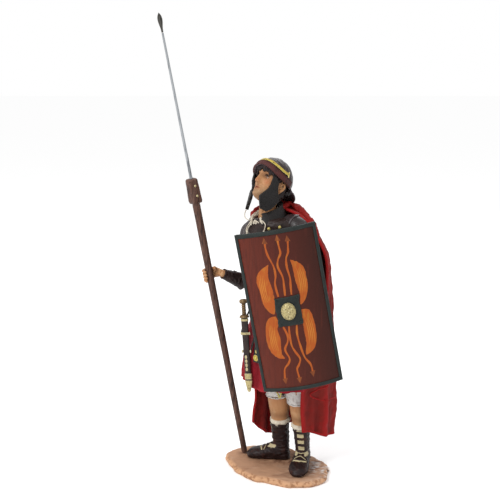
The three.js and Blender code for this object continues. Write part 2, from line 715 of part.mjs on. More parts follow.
// Lacing straps that bulge across the front of a boot shaft
function laces(ankle, top, yaw) {
  const [forward, side] = [turned(yaw), turned(yaw + 90)];
  return arc(2, 0.2, 0.8).map((share) => {
    const centre = ankle.clone().lerp(top, share);
    const reach = THREE.MathUtils.lerp(7.2, 8, share) * UNIT;
    const stations = [-38, 0, 38].map((degrees) => {
      const angle = THREE.MathUtils.degToRad(degrees);
      const at = centre.clone().addScaledVector(forward, reach * Math.cos(angle))
        .addScaledVector(side, reach * Math.sin(angle));
      return { at, wide: 1.1 * UNIT, deep: 0.9 * UNIT };
    });
    return limb(stations, { side: UP, segments: 4, steps: 2 });
  });
}

function boot(ankle, knee, yaw) {
  const along = knee.clone().sub(ankle).normalize();
  const top = ankle.clone().addScaledVector(along, (BOOT_TOP - ankle.z) / along.z);
  const up = (lift) => top.clone().addScaledVector(along, lift * UNIT);
  const side = turned(yaw + 90);
  const shaft = limb([
    { at: ankle.clone().setZ(6 * UNIT), wide: 6.4 * UNIT, deep: 7.2 * UNIT },
    { at: ankle.clone().lerp(top, 0.2), wide: 6.8 * UNIT, deep: 7.4 * UNIT },
    { at: ankle.clone().lerp(top, 0.7), wide: 7.6 * UNIT, deep: 7.9 * UNIT },
    { at: top, wide: 8.7 * UNIT, deep: 8.9 * UNIT },
  ], { side, steps: 3 });
  const sock = limb([
    { at: up(-1), wide: 8.2 * UNIT, deep: 8.4 * UNIT },
    { at: up(1.6), wide: 9.4 * UNIT, deep: 9.5 * UNIT },
    { at: up(4.2), wide: 8.4 * UNIT, deep: 8.5 * UNIT },
  ], { side, steps: 2 });
  return [foot(ankle, yaw), shaft, sock, ...laces(ankle, top, yaw)];
}

// Shield frame: x across, y back towards the soldier, z up, origin at the middle of the outer face

const shieldNormal = turned(SHIELD_YAW - 90);
const shieldFrame = new THREE.Matrix4()
  .makeBasis(turned(SHIELD_YAW), shieldNormal.clone().negate(), UP)
  .multiply(new THREE.Matrix4().makeRotationY(THREE.MathUtils.degToRad(-SHIELD_LEAN)))
  .setPosition(SHIELD_FACE);
const GRIP_DEPTH = SHIELD_BOARD + GRIP_STANDOFF;
const gripCentre = new THREE.Vector3(0, GRIP_DEPTH, 0).applyMatrix4(shieldFrame);
const gripDirection = new THREE.Vector3(1, 0, 0).transformDirection(shieldFrame);
const wristLeft = new THREE.Vector3(8.5 * UNIT, GRIP_DEPTH + 7.5 * UNIT, 0).applyMatrix4(shieldFrame);

const halfArc = Math.asin(SHIELD_CHORD / 2 / SHIELD_RADIUS);

const ARC_STEPS = 8; // facets across the board

const shieldSurface = (height, angle, out) => {
  const r = SHIELD_RADIUS + out;
  return new THREE.Vector3(r * Math.sin(angle), SHIELD_RADIUS - r * Math.cos(angle), height);
};

// A curved slab between two distances outside the board's outer face
function slab(halfAngle, halfHeight, inner, outer) {
  const angles = arc(ARC_STEPS, -halfAngle, halfAngle);
  return strip(shieldSurface, [halfHeight, -halfHeight], angles, inner, outer - inner)
    .applyMatrix4(shieldFrame);
}

const boardGeometry = () => slab(halfArc, SHIELD_HEIGHT / 2, -SHIELD_BOARD, 0);

// The rim wraps the board's edge on both faces, clear of the board: a U section given as
// (growth past the board's edge, distance outside its outer face)
function shieldRimGeometry() {
  const back = -SHIELD_BOARD;
  const section = [
    [-SHIELD_RIM_WIDTH, SHIELD_RIM_WALL], [SHIELD_RIM_WALL, SHIELD_RIM_WALL],
    [SHIELD_RIM_WALL, back - SHIELD_RIM_WALL], [-SHIELD_RIM_WIDTH, back - SHIELD_RIM_WALL],
    [-SHIELD_RIM_WIDTH, back - GAP], [GAP, back - GAP], [GAP, GAP], [-SHIELD_RIM_WIDTH, GAP],
  ];
  const shares = arc(ARC_STEPS, -1, 1);
  const around = [...shares.map((share) => [share, 1]), ...shares.toReversed().map((share) => [share, -1])];
  return loop(around.map(([share, upper]) => section.map(([growth, out]) => shieldSurface(
    upper * (SHIELD_HEIGHT / 2 + growth),
    share * (halfArc + growth / SHIELD_RADIUS),
    out,
  )))).applyMatrix4(shieldFrame);
}

const plateGeometry = () => slab(BOSS_PLATE_WIDTH / 2 / SHIELD_RADIUS, BOSS_PLATE_HEIGHT / 2,
  GAP, GAP + BOSS_PLATE_THICK);

function bossGeometry() {
  const steps = 4;
  const profile = [new THREE.Vector2(0, 0), ...arc(steps, 0, Math.PI / 2).map((angle) =>
    new THREE.Vector2(Math.cos(angle), Math.sin(angle) * BOSS_RISE))];
  profile[profile.length - 1].x = 0;
  const seat = -(2 * GAP + BOSS_PLATE_THICK);
  return new THREE.LatheGeometry(profile, 16)
    .applyMatrix4(new THREE.Matrix4().makeScale(BOSS_WIDTH / 2, 1, BOSS_HEIGHT / 2))
    .applyMatrix4(new THREE.Matrix4().makeRotationX(Math.PI))
    .applyMatrix4(new THREE.Matrix4().makeTranslation(0, seat, 0))
    .applyMatrix4(shieldFrame);
}

// A bar held off the board's back by two posts
function shieldGripSolid(grow) {
  const half = GRIP_LENGTH / 2;
  const tube = (from, to, side) => limb([
    { at: from, wide: GRIP_RADIUS, deep: GRIP_RADIUS },
    { at: to, wide: GRIP_RADIUS, deep: GRIP_RADIUS },
  ], { side, segments: 8, steps: 1, grow });
  const at = (x, y) => new THREE.Vector3(x, y, 0);
  const bar = tube(at(-half, GRIP_DEPTH), at(half, GRIP_DEPTH), UP);
  const posts = [-1, 1].map((side) => {
    const x = side * (half - GRIP_RADIUS);
    const back = SHIELD_RADIUS - Math.sqrt((SHIELD_RADIUS - SHIELD_BOARD) ** 2 - half ** 2);
    return tube(at(x, back + GAP), at(x, GRIP_DEPTH), UP);
  });
  return joined([bar, ...posts].map((g) => g.applyMatrix4(shieldFrame)));
}

// Pilum frame: z up the shaft, origin at the butt

const PILUM_FRAME = new THREE.Matrix4().compose(
  PILUM_BUTT,
  new THREE.Quaternion().setFromUnitVectors(UP, PILUM_DIRECTION),
  new THREE.Vector3(1, 1, 1),
);

function turnedPiece(profile, segments) {
  return new THREE.LatheGeometry(profile.map(([r, z]) => new THREE.Vector2(r, z)), segments)
    .applyMatrix4(new THREE.Matrix4().makeRotationX(Math.PI / 2));
}

const BUTT_LIFT = SHAFT_RADIUS_BUTT * Math.sin(Math.acos(PILUM_DIRECTION.z)); // clears the base
const shaftTop = BUTT_LIFT + SHAFT_LENGTH;
const blockTop = shaftTop + GAP + BLOCK_LENGTH;
const shankTop = blockTop + GAP + SHANK_LENGTH;

const taper = (low, high, from, to, segments) =>
  turnedPiece([[0, from], [low, from], [high, to], [0, to]], segments).applyMatrix4(PILUM_FRAME);

const shaftGeometry = (grow) =>
  taper(SHAFT_RADIUS_BUTT + grow, SHAFT_RADIUS_TOP + grow, BUTT_LIFT, shaftTop, 12);
const shankGeometry = () => taper(SHANK_RADIUS_LOW, SHANK_RADIUS_TOP, blockTop + GAP, shankTop, 8);

// The block's faces look past the viewer on both sides
const BLOCK_TURN = Math.PI / 5.45;

function blockGeometry() {
  const section = (width, z) => [0, 1, 2, 3].flatMap((corner) => {
    const [half, cut] = [width / 2, width * 0.12];
    const turn = BLOCK_TURN + (corner * Math.PI) / 2;
    return [[half, half - cut], [half - cut, half]].map(([x, y]) =>
      new THREE.Vector3(x, y, z).applyAxisAngle(UP, turn));
  });
  const [low, high] = [shaftTop + GAP, blockTop];
  const rings = [
    section(BLOCK_WIDTH_LOW * 0.9, low),
    section(BLOCK_WIDTH_LOW, low + 2),
    section(BLOCK_WIDTH_TOP, high - 1),
    section(BLOCK_WIDTH_TOP * 0.86, high),
  ];
  const centre = (z) => new THREE.Vector3(0, 0, z);
  return loft(rings, centre(low), centre(high)).applyMatrix4(PILUM_FRAME);
}

function rivetGeometry(below) {
  const share = below / BLOCK_LENGTH;
  const face = THREE.MathUtils.lerp(BLOCK_WIDTH_TOP, BLOCK_WIDTH_LOW, share) / 2 + 2 * GAP;
  const out = new THREE.Vector3(0, -1, 0).applyAxisAngle(UP, BLOCK_TURN);
  const profile = [[0, 0], [RIVET_RADIUS, 0], [RIVET_RADIUS * 0.7, RIVET_RISE], [0, RIVET_RISE * 1.3]];
  const head = new THREE.LatheGeometry(profile.map(([x, y]) => new THREE.Vector2(x, y)), 6);
  const turn = new THREE.Quaternion().setFromUnitVectors(new THREE.Vector3(0, 1, 0), out);
  const at = out.clone().multiplyScalar(face).setZ(blockTop - below);
  return head.applyMatrix4(new THREE.Matrix4().compose(at, turn, new THREE.Vector3(1, 1, 1)))
    .applyMatrix4(PILUM_FRAME);
}

function spearPointGeometry() {
  const low = shankTop + GAP;
  const shape = [[0, 0.36], [0.2, 0.5], [0.45, 0.84], [0.68, 1], [0.88, 0.6]];
  const rings = shape.map(([share, size]) => arc(7, 0, (7 / 4) * Math.PI).map((angle) =>
    new THREE.Vector3(
      (POINT_WIDTH / 2) * size * Math.cos(angle),
      (POINT_THICK / 2) * size * Math.sin(angle),
      low + share * POINT_LENGTH,
    )));
  return loft(rings, new THREE.Vector3(0, 0, low), new THREE.Vector3(0, 0, low + POINT_LENGTH))
    .applyMatrix4(PILUM_FRAME);
}

// Sword at the right hip

const bladeDirection = SWORD_TIP.clone().sub(SWORD_GUARD).normalize();
const bladeOutward = new THREE.Vector3(-0.53, -0.85, 0);
const bladeWidth = bladeDirection.clone().cross(bladeOutward).normalize();
const swordAt = (distance) => SWORD_GUARD.clone().addScaledVector(bladeDirection, distance);

function sheathGeometry(from, to, widthFrom, widthTo, grow, round) {
  return limb([
    { at: swordAt(from), wide: widthFrom / 2, deep: SCABBARD_THICK / 2 },
    { at: swordAt((from + to) / 2), wide: (widthFrom + widthTo) / 4, deep: SCABBARD_THICK / 2 },
    { at: swordAt(to), wide: widthTo / 2, deep: SCABBARD_THICK / 2 },
  ], { side: bladeWidth, segments: 8, steps: 2, grow, round: [0, round] });
}

const scabbardGeometry = (grow) =>
  sheathGeometry(0, SCABBARD_LENGTH, SCABBARD_WIDTH, SCABBARD_WIDTH * 0.82, grow, 0);
const chapeGeometry = () => {
  const from = SCABBARD_LENGTH + GAP;
  return sheathGeometry(from, from + CHAPE_LENGTH * 0.6, SCABBARD_WIDTH, SCABBARD_WIDTH * 0.6, 0,
    CHAPE_LENGTH * 0.4);
};

function hiltGeometry() {
  const [r, l] = [HILT_RADIUS, HILT_LENGTH];
  const rings = arc(1, 0.36, 0.56).flatMap((share) => [[r * 0.86, share * l], [r * 1.1, (share + 0.06) * l]]);
  const profile = [
    [0, 0], [r * 2.1, 0], [r * 2.2, l * 0.1], [r * 1.5, l * 0.2], ...rings,
    [r * 0.86, l * 0.72], [r * 1.7, l * 0.8], [r * 1.75, l * 0.9], [r * 0.9, l * 0.99], [0, l],
  ];
  const turn = new THREE.Quaternion().setFromUnitVectors(UP, bladeDirection.clone().negate());
  return turnedPiece(profile, 8)
    .applyMatrix4(new THREE.Matrix4().compose(swordAt(-GAP), turn, new THREE.Vector3(1, 1, 1)));
}

// Shoulder guards: lames that overlap like tiles from the collar down over the arm

const LAMES = 3;

function guardBlank(shoulder, elbow, side, inner, outer) {
  const path = new THREE.CatmullRomCurve3([
    shoulder.clone().addScaledVector(LEFTWARD, -side * 11 * UNIT).addScaledVector(UP, 2 * UNIT),
    shoulder.clone(),
    shoulder.clone().lerp(elbow, 0.42).addScaledVector(LEFTWARD, side * UNIT),
  ]);
  const front = turned(BODY_YAW - 90);
  const lamePoint = (t, angle, offset) => {
    const tangent = path.getTangent(t);
    const across = front.clone().addScaledVector(tangent, -front.dot(tangent)).normalize();
    const outward = across.clone().cross(tangent).multiplyScalar(side).normalize();
    const step = offset > inner ? 0.9 * ((t * LAMES) % 1) : 0;
    const r = ARM_RADIUS + offset + step;
    return path.getPoint(t).addScaledVector(across, r * Math.cos(angle))
      .addScaledVector(outward, r * Math.sin(angle));
  };
  const shares = arc(LAMES - 1, 0, (LAMES - 1) / LAMES).flatMap((t) => [t, t + 0.94 / LAMES]);
  return strip(lamePoint, shares, arc(5, -0.25, Math.PI + 0.25), inner, outer - inner);
}

const guardLeft = (inner, outer) => guardBlank(JOINTS.shoulderLeft, JOINTS.elbowLeft, 1, inner, outer);
const guardRight = (inner, outer) => guardBlank(JOINTS.shoulderRight, JOINTS.elbowRight, -1, inner, outer);

// Neck scarf: a roll round the collar, low at the front

const SCARF_CENTRE = { x: -16.6, y: -2.8, wide: 12, deep: 13.2, front: 229, back: 239 };

function scarfGeometry(grow) {
  const [count, sides] = [16, 5];
  const { x, y, wide, deep, front, back } = SCARF_CENTRE;
  const centres = fullTurn(count).map((angle) =>
    point(x, y, THREE.MathUtils.lerp(back, front, (1 - Math.sin(angle)) / 2))
      .addScaledVector(LEFTWARD, wide * UNIT * Math.cos(angle))
      .addScaledVector(turned(BODY_YAW + 90), deep * UNIT * Math.sin(angle)));
  return loop(centres.map((centre, i) => {
    const tangent = centres[(i + 1) % count].clone().sub(centres[(i + count - 1) % count]).normalize();
    const across = tangent.clone().cross(UP).normalize();
    const r = SCARF_RADIUS + grow + 0.35 * Math.sin(2.4 * i);
    return fullTurn(sides).map((angle) => centre.clone()
      .addScaledVector(across, r * Math.cos(angle))
      .addScaledVector(UP, r * Math.sin(angle)));
  }));
}

// A lace that hangs from the scarf over the armour
function laceGeometry(angle, length) {
  const shares = [0.955, 0.93, 0.9, 0.9 - length];
  const stations = shares.map((t, i) => ({
    at: cuirassPoint(t, angle - 0.03 * i, GAP + LACE_RADIUS + 0.2),
    wide: LACE_RADIUS,
    deep: LACE_RADIUS,
  }));
  return limb(stations, { segments: 5, steps: 3 });
}

// Cloak: a stiff cloth shell from the collar over the back and left shoulder to below the knees.
// Each section is an oval with its own reach left, right, back and front, and its own start and end.

const CLOAK = [
  { z: 242, yaw: -42, cx: -11, cy: 3, left: 10, right: 10, back: 11, front: 10, from: 20, to: 168 },
  { z: 238.5, yaw: -42, cx: -11, cy: 3, left: 28.6, right: 24, back: 18, front: 18, from: 16, to: 160 },
  { z: 229, yaw: -30, cx: -11, cy: 3, left: 39.5, right: 32, back: 23, front: 22, from: 8, to: 150 },
  { z: 201, yaw: -22, cx: -10, cy: 4, left: 50, right: 31, back: 30, front: 28, from: -6, to: 136 },
  { z: 176, yaw: -16, cx: -9, cy: 5, left: 51.5, right: 31, back: 31, front: 32, from: -14, to: 135 },
  { z: 152, yaw: -12, cx: -7, cy: 5, left: 51.3, right: 32, back: 32, front: 35, from: -24, to: 136 },
  { z: 131, yaw: -10, cx: -6, cy: 5, left: 50.3, right: 33, back: 33, front: 37, from: -40, to: 138 },
  { z: 108, yaw: -8, cx: -4.5, cy: 5, left: 49.3, right: 33, back: 34, front: 37, from: -52, to: 141 },
  { z: 90, yaw: -6, cx: -3, cy: 5, left: 48.2, right: 33, back: 34, front: 36.7, from: -60, to: 143 },
  { z: 74, yaw: -4, cx: -1.5, cy: 5.6, left: 47.6, right: 32, back: 34, front: 31, from: -67, to: 145 },
  { z: 54, yaw: -3, cx: 0, cy: 6, left: 46.8, right: 31, back: 34, front: 25.6, from: -69.5, to: 148 },
  { z: 40, yaw: -1, cx: 1, cy: 6, left: 44.7, right: 33, back: 34, front: 23, from: -70, to: 150 },
  { z: 27, yaw: 0, cx: 2, cy: 6, left: 42.3, right: 35, back: 34, front: 21.3, from: -70, to: 150 },
];

function cloakPoint(t, u, offset) {
  const { z, yaw, cx, cy, left, right, back, front, from, to } = blend(CLOAK, t);
  const angle = THREE.MathUtils.degToRad(THREE.MathUtils.lerp(from, to, u));
  const [cosine, sine] = [Math.cos(angle), Math.sin(angle)];
  const deepening = Math.max(0, t - 0.18) ** 1.2;
  const fold = 2.6 * deepening * Math.sin(2 * Math.PI * (7.5 * u + 0.16 * Math.sin(5 * u + 2 * t)))
    + 1.1 * deepening * Math.sin(2 * Math.PI * (13 * u + 0.3));
  const across = (cosine > 0 ? left : right) + fold;
  const away = (sine > 0 ? back : front) + fold;
  const corner = 1 + 9 * bump(u, 0, 0.13) - 12 * bump(u, 0.83, 0.09) + 5 * Math.max(0, u - 0.92) / 0.08;
  const hem = t ** 6 * (corner - 3 * bump(u, 0.6, 0.08));
  return point(cx, cy, z + hem)
    .addScaledVector(turned(yaw), (across * UNIT + offset) * cosine)
    .addScaledVector(turned(yaw + 90), (away * UNIT + offset) * sine);
}

const cloakGeometry = () =>
  strip(cloakPoint, arc(9, 0, 1), arc(24, 0, 1), -CLOTH / 2, CLOTH);

// The clay figure: one solid from boots to hair

function bodyParts(grow) {
  const { shoulderRight, elbowRight, wristRight, shoulderLeft, elbowLeft } = JOINTS;
  const neck = limb([
    { at: point(-14.5, -0.5, 222), wide: 9.4 * UNIT, deep: 9.8 * UNIT },
    { at: point(-15.5, -1.8, 236), wide: 7.4 * UNIT, deep: 8.2 * UNIT },
    { at: point(-13.4, -1.2, 254), wide: 7.4 * UNIT, deep: 8.4 * UNIT },
  ], { steps: 4, grow });
  return joined([
    stack(TORSO, { grow }),
    neck,
    upperArm(shoulderRight, elbowRight, grow),
    forearm(elbowRight, wristRight, grow),
    upperArm(shoulderLeft, elbowLeft, grow),
    forearm(elbowLeft, wristLeft, grow),
    ...leg(JOINTS.hipRight, JOINTS.kneeRight, JOINTS.ankleRight, 0.22, turned(FOOT_YAW_RIGHT + 90), grow),
    ...leg(JOINTS.hipLeft, JOINTS.kneeLeft, JOINTS.ankleLeft, 0.27, turned(FOOT_YAW_LEFT + 90), grow),
  ]);
}

function figureSolid() {
  const pilumGrip = new THREE.Vector3(0, 0, PILUM_GRIP_HEIGHT).applyMatrix4(PILUM_FRAME);
  const shaftRadius = THREE.MathUtils.lerp(SHAFT_RADIUS_BUTT, SHAFT_RADIUS_TOP,
    PILUM_GRIP_HEIGHT / SHAFT_LENGTH);
  const { wristRight } = JOINTS;
  const handRight = handSolid(gripFrame(pilumGrip, PILUM_DIRECTION, wristRight), wristRight, shaftRadius);
  const handLeft = handSolid(gripFrame(gripCentre, gripDirection, wristLeft), wristLeft, GRIP_RADIUS);
  const boots = joined([
    ...boot(JOINTS.ankleRight, JOINTS.kneeRight, FOOT_YAW_RIGHT),
    ...boot(JOINTS.ankleLeft, JOINTS.kneeLeft, FOOT_YAW_LEFT),
  ]);
  return bodyParts(0).add(boots).add(headSolid()).add(handRight).add(handLeft)
    .subtract(asSolid(shaftGeometry(GAP))).subtract(shieldGripSolid(GAP));
}

// Materials, from the painted clay, cloth, leather and metal

const material = (color, roughness, metalness = 0) =>
  new THREE.MeshStandardMaterial({ color, roughness, metalness });
const clay = material(0xbe8a5c, 0.55);
const earth = material(0xb98c6c, 0.85);
const cloth = material(0x8e2620, 0.75);
const crimson = material(0x96202c, 0.75);
const leather = material(0x3c2620, 0.5);
const darkLeather = material(0x2a2320, 0.5);
const browLeather = material(0x4a2420, 0.5);
const plateGrey = material(0x4a4040, 0.4);
const brass = material(0xd8c048, 0.35, 0.8);
const linen = material(0xd8d0c0, 0.85);
const wood = material(0x4a332c, 0.6);
const steel = material(0xb8bcc0, 0.3, 0.9);
const darkIron = material(0x4c4a46, 0.45, 0.7);
const shieldRed = material(0x6c3226, 0.55);
const shieldRim = material(0x2d3a36, 0.55);

// Assembly: everything but the base stands on it

const shaped = (geometry, ...cuts) => asGeometry(cuts.reduce((solid, cut) => solid.subtract(cut),
  asSolid(geometry)));
const figure = figureSolid();
const figureClearance = bodyParts(GAP).add(figure);
const cuirassClearance = asSolid(stack(CUIRASS, { grow: LEATHER + GAP }));
const skirt = shaped(skirtGeometry(), figureClearance);
const skirtClearance = asSolid(skirtBlock(GAP)).add(asSolid(skirt));

const soldier = new THREE.Group();
soldier.position.copy(STANCE).setZ(BASE_THICK + GAP);

soldier.add(mesh('figure', asGeometry(figure), clay));

const scarfClearance = asSolid(scarfGeometry(GAP));
soldier.add(mesh('cuirass', shaped(stack(CUIRASS, { grow: LEATHER }), figureClearance), leather));
soldier.add(mesh('neck_scarf', shaped(scarfGeometry(0), figureClearance, cuirassClearance), linen));
[[5.08, 0.13], [4.46, 0.1]].forEach(([angle, length], i) => soldier.add(mesh(
  `collar_lace_${i + 1}`,
  shaped(laceGeometry(angle, length), cuirassClearance, scarfClearance),
  linen,
)));
[5.2, 5.57].forEach((angle, i) => {
  const { x, y, z } = cuirassPoint(0.8, angle, 0);
  soldier.add(mesh(`cuirass_stud_${i + 1}`,
    shaped(ball(x, y, z, STUD_RADIUS, STUD_RADIUS, STUD_RADIUS), cuirassClearance), brass));
});

const guards = { left: guardLeft, right: guardRight };
for (const [side, guard] of Object.entries(guards)) {
  soldier.add(mesh(`shoulder_guard_${side}`,
    shaped(guard(GAP, GAP + GUARD_THICK), figureClearance, cuirassClearance, scarfClearance), plateGrey));
}

soldier.add(mesh('tunic_skirt', skirt, crimson));
soldier.add(mesh('belt', beltGeometry(), darkLeather));

const scabbardClearance = asSolid(scabbardGeometry(GAP));
STRAP_ANGLES.forEach((angle, i) => {
  soldier.add(mesh(`apron_strap_${i + 1}`, shaped(strapGeometry(angle), scabbardClearance), darkLeather));
  soldier.add(mesh(`apron_pendant_${i + 1}`, pendantGeometry(angle), brass));
});
soldier.add(mesh('scabbard', shaped(scabbardGeometry(0), skirtClearance), leather));
soldier.add(mesh('scabbard_chape', shaped(chapeGeometry(), skirtClearance), brass));
soldier.add(mesh('sword_hilt', hiltGeometry(), brass));

const arms = {
  left: [JOINTS.elbowLeft, wristLeft],
  right: [JOINTS.elbowRight, JOINTS.wristRight],
};
for (const [side, [elbow, wrist]] of Object.entries(arms)) {
  soldier.add(mesh(`vambrace_${side}`,
    shaped(vambraceBlank(elbow, wrist), figureClearance, cuirassClearance), darkLeather));
}

const guardClearance = Object.values(guards)
  .map((guard) => asSolid(guard(0, GAP + GUARD_THICK + GAP)))
  .reduce((all, next) => all.add(next));
soldier.add(mesh('cloak', shaped(cloakGeometry(), figureClearance, cuirassClearance, skirtClearance,
  guardClearance, scarfClearance), cloth));

const inFrame = (geometry) => geometry.applyMatrix4(headFrame());
soldier.add(mesh('helmet_bowl', shaped(inFrame(asGeometry(helmetSolid())), figureClearance), darkLeather));
soldier.add(mesh('helmet_brow_band',
  inFrame(bandGeometry(BROW_BAND, BROW_BAND_WIDTH)), browLeather));
soldier.add(mesh('helmet_brass_band',
  inFrame(bandGeometry(BRASS_BAND, BRASS_BAND_WIDTH)), brass));
for (const [side, hang] of Object.entries(CHEEK_HANG)) {
  soldier.add(mesh(`cheek_guard_${side}`, inFrame(cheekGeometry(hang)), darkLeather));
}

function tieGeometry() {
  const tip = cheekPoint(CHEEK_HANG.right, 1, 0.5, -inHead(CHEEK_THICK) / 2).applyMatrix4(headFrame());
  const stations = [
    tip.clone().addScaledVector(UP, -TIE_RADIUS - GAP),
    point(-35.6, -1, 235.4),
    point(-35.2, -3.4, 231.8),
    point(-31.6, -6, 229.8),
  ].map((at) => ({ at, wide: TIE_RADIUS, deep: TIE_RADIUS }));
  return limb(stations, { segments: 5, steps: 6 });
}
soldier.add(mesh('cheek_tie', shaped(tieGeometry(), scarfClearance, cuirassClearance), linen));

soldier.add(mesh('shield_board', boardGeometry(), shieldRed));
soldier.add(mesh('shield_rim', shieldRimGeometry(), shieldRim));
soldier.add(mesh('shield_boss_plate', plateGeometry(), shieldRim));
soldier.add(mesh('shield_boss', bossGeometry(), brass));
soldier.add(mesh('shield_grip', asGeometry(shieldGripSolid(0)), wood));

soldier.add(mesh('pilum_shaft', shaftGeometry(0), wood));
soldier.add(mesh('pilum_block', blockGeometry(), wood));
soldier.add(mesh('pilum_rivet_upper', rivetGeometry(6), brass));
soldier.add(mesh('pilum_rivet_lower', rivetGeometry(15), brass));
soldier.add(mesh('pilum_shank', shankGeometry(), steel));
soldier.add(mesh('pilum_point', spearPointGeometry(), darkIron));

const statue = new THREE.Group();
statue.add(mesh('base', baseGeometry(), earth), soldier);
export default statue;
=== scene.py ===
# The looks of the legionary crib figure: painted clay, cloth, leather and metal over the CAD frame.
# Sizes are millimetres in the soldier's frame (soles at 0) and become metres when a mesh is made.
import math
import random
import bmesh
import bpy
import numpy as np
from mathutils import Matrix, Vector
from mathutils.geometry import delaunay_2d_cdt


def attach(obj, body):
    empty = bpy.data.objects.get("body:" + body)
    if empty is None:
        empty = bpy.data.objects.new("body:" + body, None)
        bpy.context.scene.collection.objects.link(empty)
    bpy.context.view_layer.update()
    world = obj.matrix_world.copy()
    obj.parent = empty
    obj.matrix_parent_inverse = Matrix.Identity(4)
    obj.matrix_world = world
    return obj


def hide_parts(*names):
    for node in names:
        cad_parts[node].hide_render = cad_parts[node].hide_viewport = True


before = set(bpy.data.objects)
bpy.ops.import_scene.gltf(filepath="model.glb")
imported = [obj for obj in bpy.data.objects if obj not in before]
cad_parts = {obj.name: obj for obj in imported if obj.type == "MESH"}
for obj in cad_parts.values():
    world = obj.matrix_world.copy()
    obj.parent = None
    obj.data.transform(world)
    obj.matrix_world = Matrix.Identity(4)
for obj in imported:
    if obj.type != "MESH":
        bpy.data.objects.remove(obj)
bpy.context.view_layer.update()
random.seed(7)

# Shared sizes, as the frame has them

MM = 0.001
GAP = 0.3
BASE_THICK = 6.0
STANCE = np.array([5.5, -2.8, BASE_THICK + GAP])
CLOTH = 1.8
LEATHER = 2.2
BODY_YAW = -42.0
HEAD_YAW = -139.0
HEAD_PITCH = 30.0
FOOT_YAW = {"right": 170.0, "left": -102.0}
BOOT_TOP = 38.0

JOINTS = {
    "ankle_right": (-1, 13, 17), "knee_right": (-6, 4, 80), "hip_right": (-13, 9, 136),
    "ankle_left": (18, -1, 17), "knee_left": (13, -9, 80), "hip_left": (5, -7, 136),
    "shoulder_right": (-30, 20, 215), "elbow_right": (-29, 19, 166), "wrist_right": (-57, 5, 180),
    "shoulder_left": (11, -15, 224), "elbow_left": (26, -8, 178), "head": (-12.2, -2, 262.6),
}
JOINTS = {name: np.array(place, float) for name, place in JOINTS.items()}


# Vector and surface helpers

CAP_RINGS = 4  # rings in a tube's round end
LIMB_CAP_RINGS = 5  # rings in a limb's round end


def turned(degrees):
    angle = math.radians(degrees)
    return np.array([math.cos(angle), math.sin(angle), 0.0])


def unit(vector):
    vector = np.asarray(vector, float)
    return vector / np.linalg.norm(vector, axis=-1, keepdims=True)


def matrix(x, y, z, origin):
    """A frame as (rotation, origin)."""
    return np.stack([x, y, z], axis=1), np.asarray(origin, float)


def placed(points, place):
    rotation, origin = place
    return np.asarray(points, float) @ rotation.T + origin


def moved(part, place):
    """A part's vertices taken into a frame, with its faces."""
    return placed(part[0], place), part[1]


LEFTWARD = turned(BODY_YAW)
BACKWARD = turned(BODY_YAW + 90)
UP = np.array([0.0, 0.0, 1.0])


def blend(stations, t):
    """Catmull-Rom values of a table of stations at shares t, one array for each column."""
    table = np.asarray(stations, float)
    last = len(table) - 1
    at = np.clip(np.asarray(t, float), 0, 1) * last
    index = np.minimum(at.astype(int), last - 1)
    f = (at - index)[..., None]
    a = table[np.maximum(index - 1, 0)]
    b = table[index]
    c = table[index + 1]
    d = table[np.minimum(index + 2, last)]
    value = 0.5 * (2 * b + (c - a) * f + (2 * a - 5 * b + 4 * c - d) * f ** 2
                   + (3 * b - a - 3 * c + d) * f ** 3)
    return np.moveaxis(value, -1, 0)


def bump(value, centre, width):
    return np.exp(-((np.asarray(value, float) - centre) / width) ** 2)


def waves(points, size, seed, count=14):
    """Smooth irregular relief of about unit height, with features of the given size."""
    source = np.random.default_rng(seed)
    directions = unit(source.normal(size=(count, 3)))
    lengths = size * source.uniform(0.6, 1.6, count)
    phases = source.uniform(0, 2 * math.pi, count)
    total = sum(np.sin(points @ d * (2 * math.pi / length) + phase)
                for d, length, phase in zip(directions, lengths, phases))
    return total / math.sqrt(count / 2)


def circle(count):
    """Angles all the way round, without the last that meets the first."""
    return np.arange(count) / count * 2 * math.pi


def grid(rows, columns):
    """Shares down and across a surface, as two arrays of one shape."""
    return np.meshgrid(np.linspace(0, 1, rows), np.linspace(0, 1, columns), indexing="ij")


def turn_grid(rows, columns):
    """Shares down and angles all the way round."""
    return np.meshgrid(np.linspace(0, 1, rows), circle(columns), indexing="ij")


def quads(rows, columns, closed=False, start=0):
    spans = columns if closed else columns - 1
    j, i = np.meshgrid(np.arange(rows - 1), np.arange(spans), indexing="ij")
    a = j * columns + i
    b = j * columns + (i + 1) % columns
    return (np.stack([a, b, b + columns, a + columns], axis=-1).reshape(-1, 4) + start).tolist()


def sheet_normals(points, closed):
    """Unit normals of a grid of points."""
    along = np.gradient(points, axis=0)
    if closed:
        across = np.roll(points, -1, axis=1) - np.roll(points, 1, axis=1)
    else:
        across = np.gradient(points, axis=1)
    return unit(np.cross(across, along) + 1e-9)


def shell(outer, inner, closed=False):
    """A wall between two grids: vertices and faces, edges closed."""
    rows, columns = outer.shape[:2]
    inside = rows * columns
    vertices = np.concatenate([outer.reshape(-1, 3), inner.reshape(-1, 3)])
    faces = quads(rows, columns, closed)
    faces += [face[::-1] for face in quads(rows, columns, closed, inside)]
    spans = columns if closed else columns - 1
    last = (rows - 1) * columns
    for i in range(spans):
        k = (i + 1) % columns
        faces.append([i, i + inside, k + inside, k])
        faces.append([last + i, last + k, last + k + inside, last + i + inside])
    if not closed:
        for j in range(rows - 1):
            a, b = j * columns, (j + 1) * columns
            faces.append([a, b, b + inside, a + inside])
            c, d = a + columns - 1, b + columns - 1
            faces.append([c, c + inside, d + inside, d])
    return vertices, faces


def wall(points, thick, closed=False):
    """A shell of even thickness centred on a grid of points."""
    normal = sheet_normals(points, closed)
    return shell(points + normal * thick / 2, points - normal * thick / 2, closed)


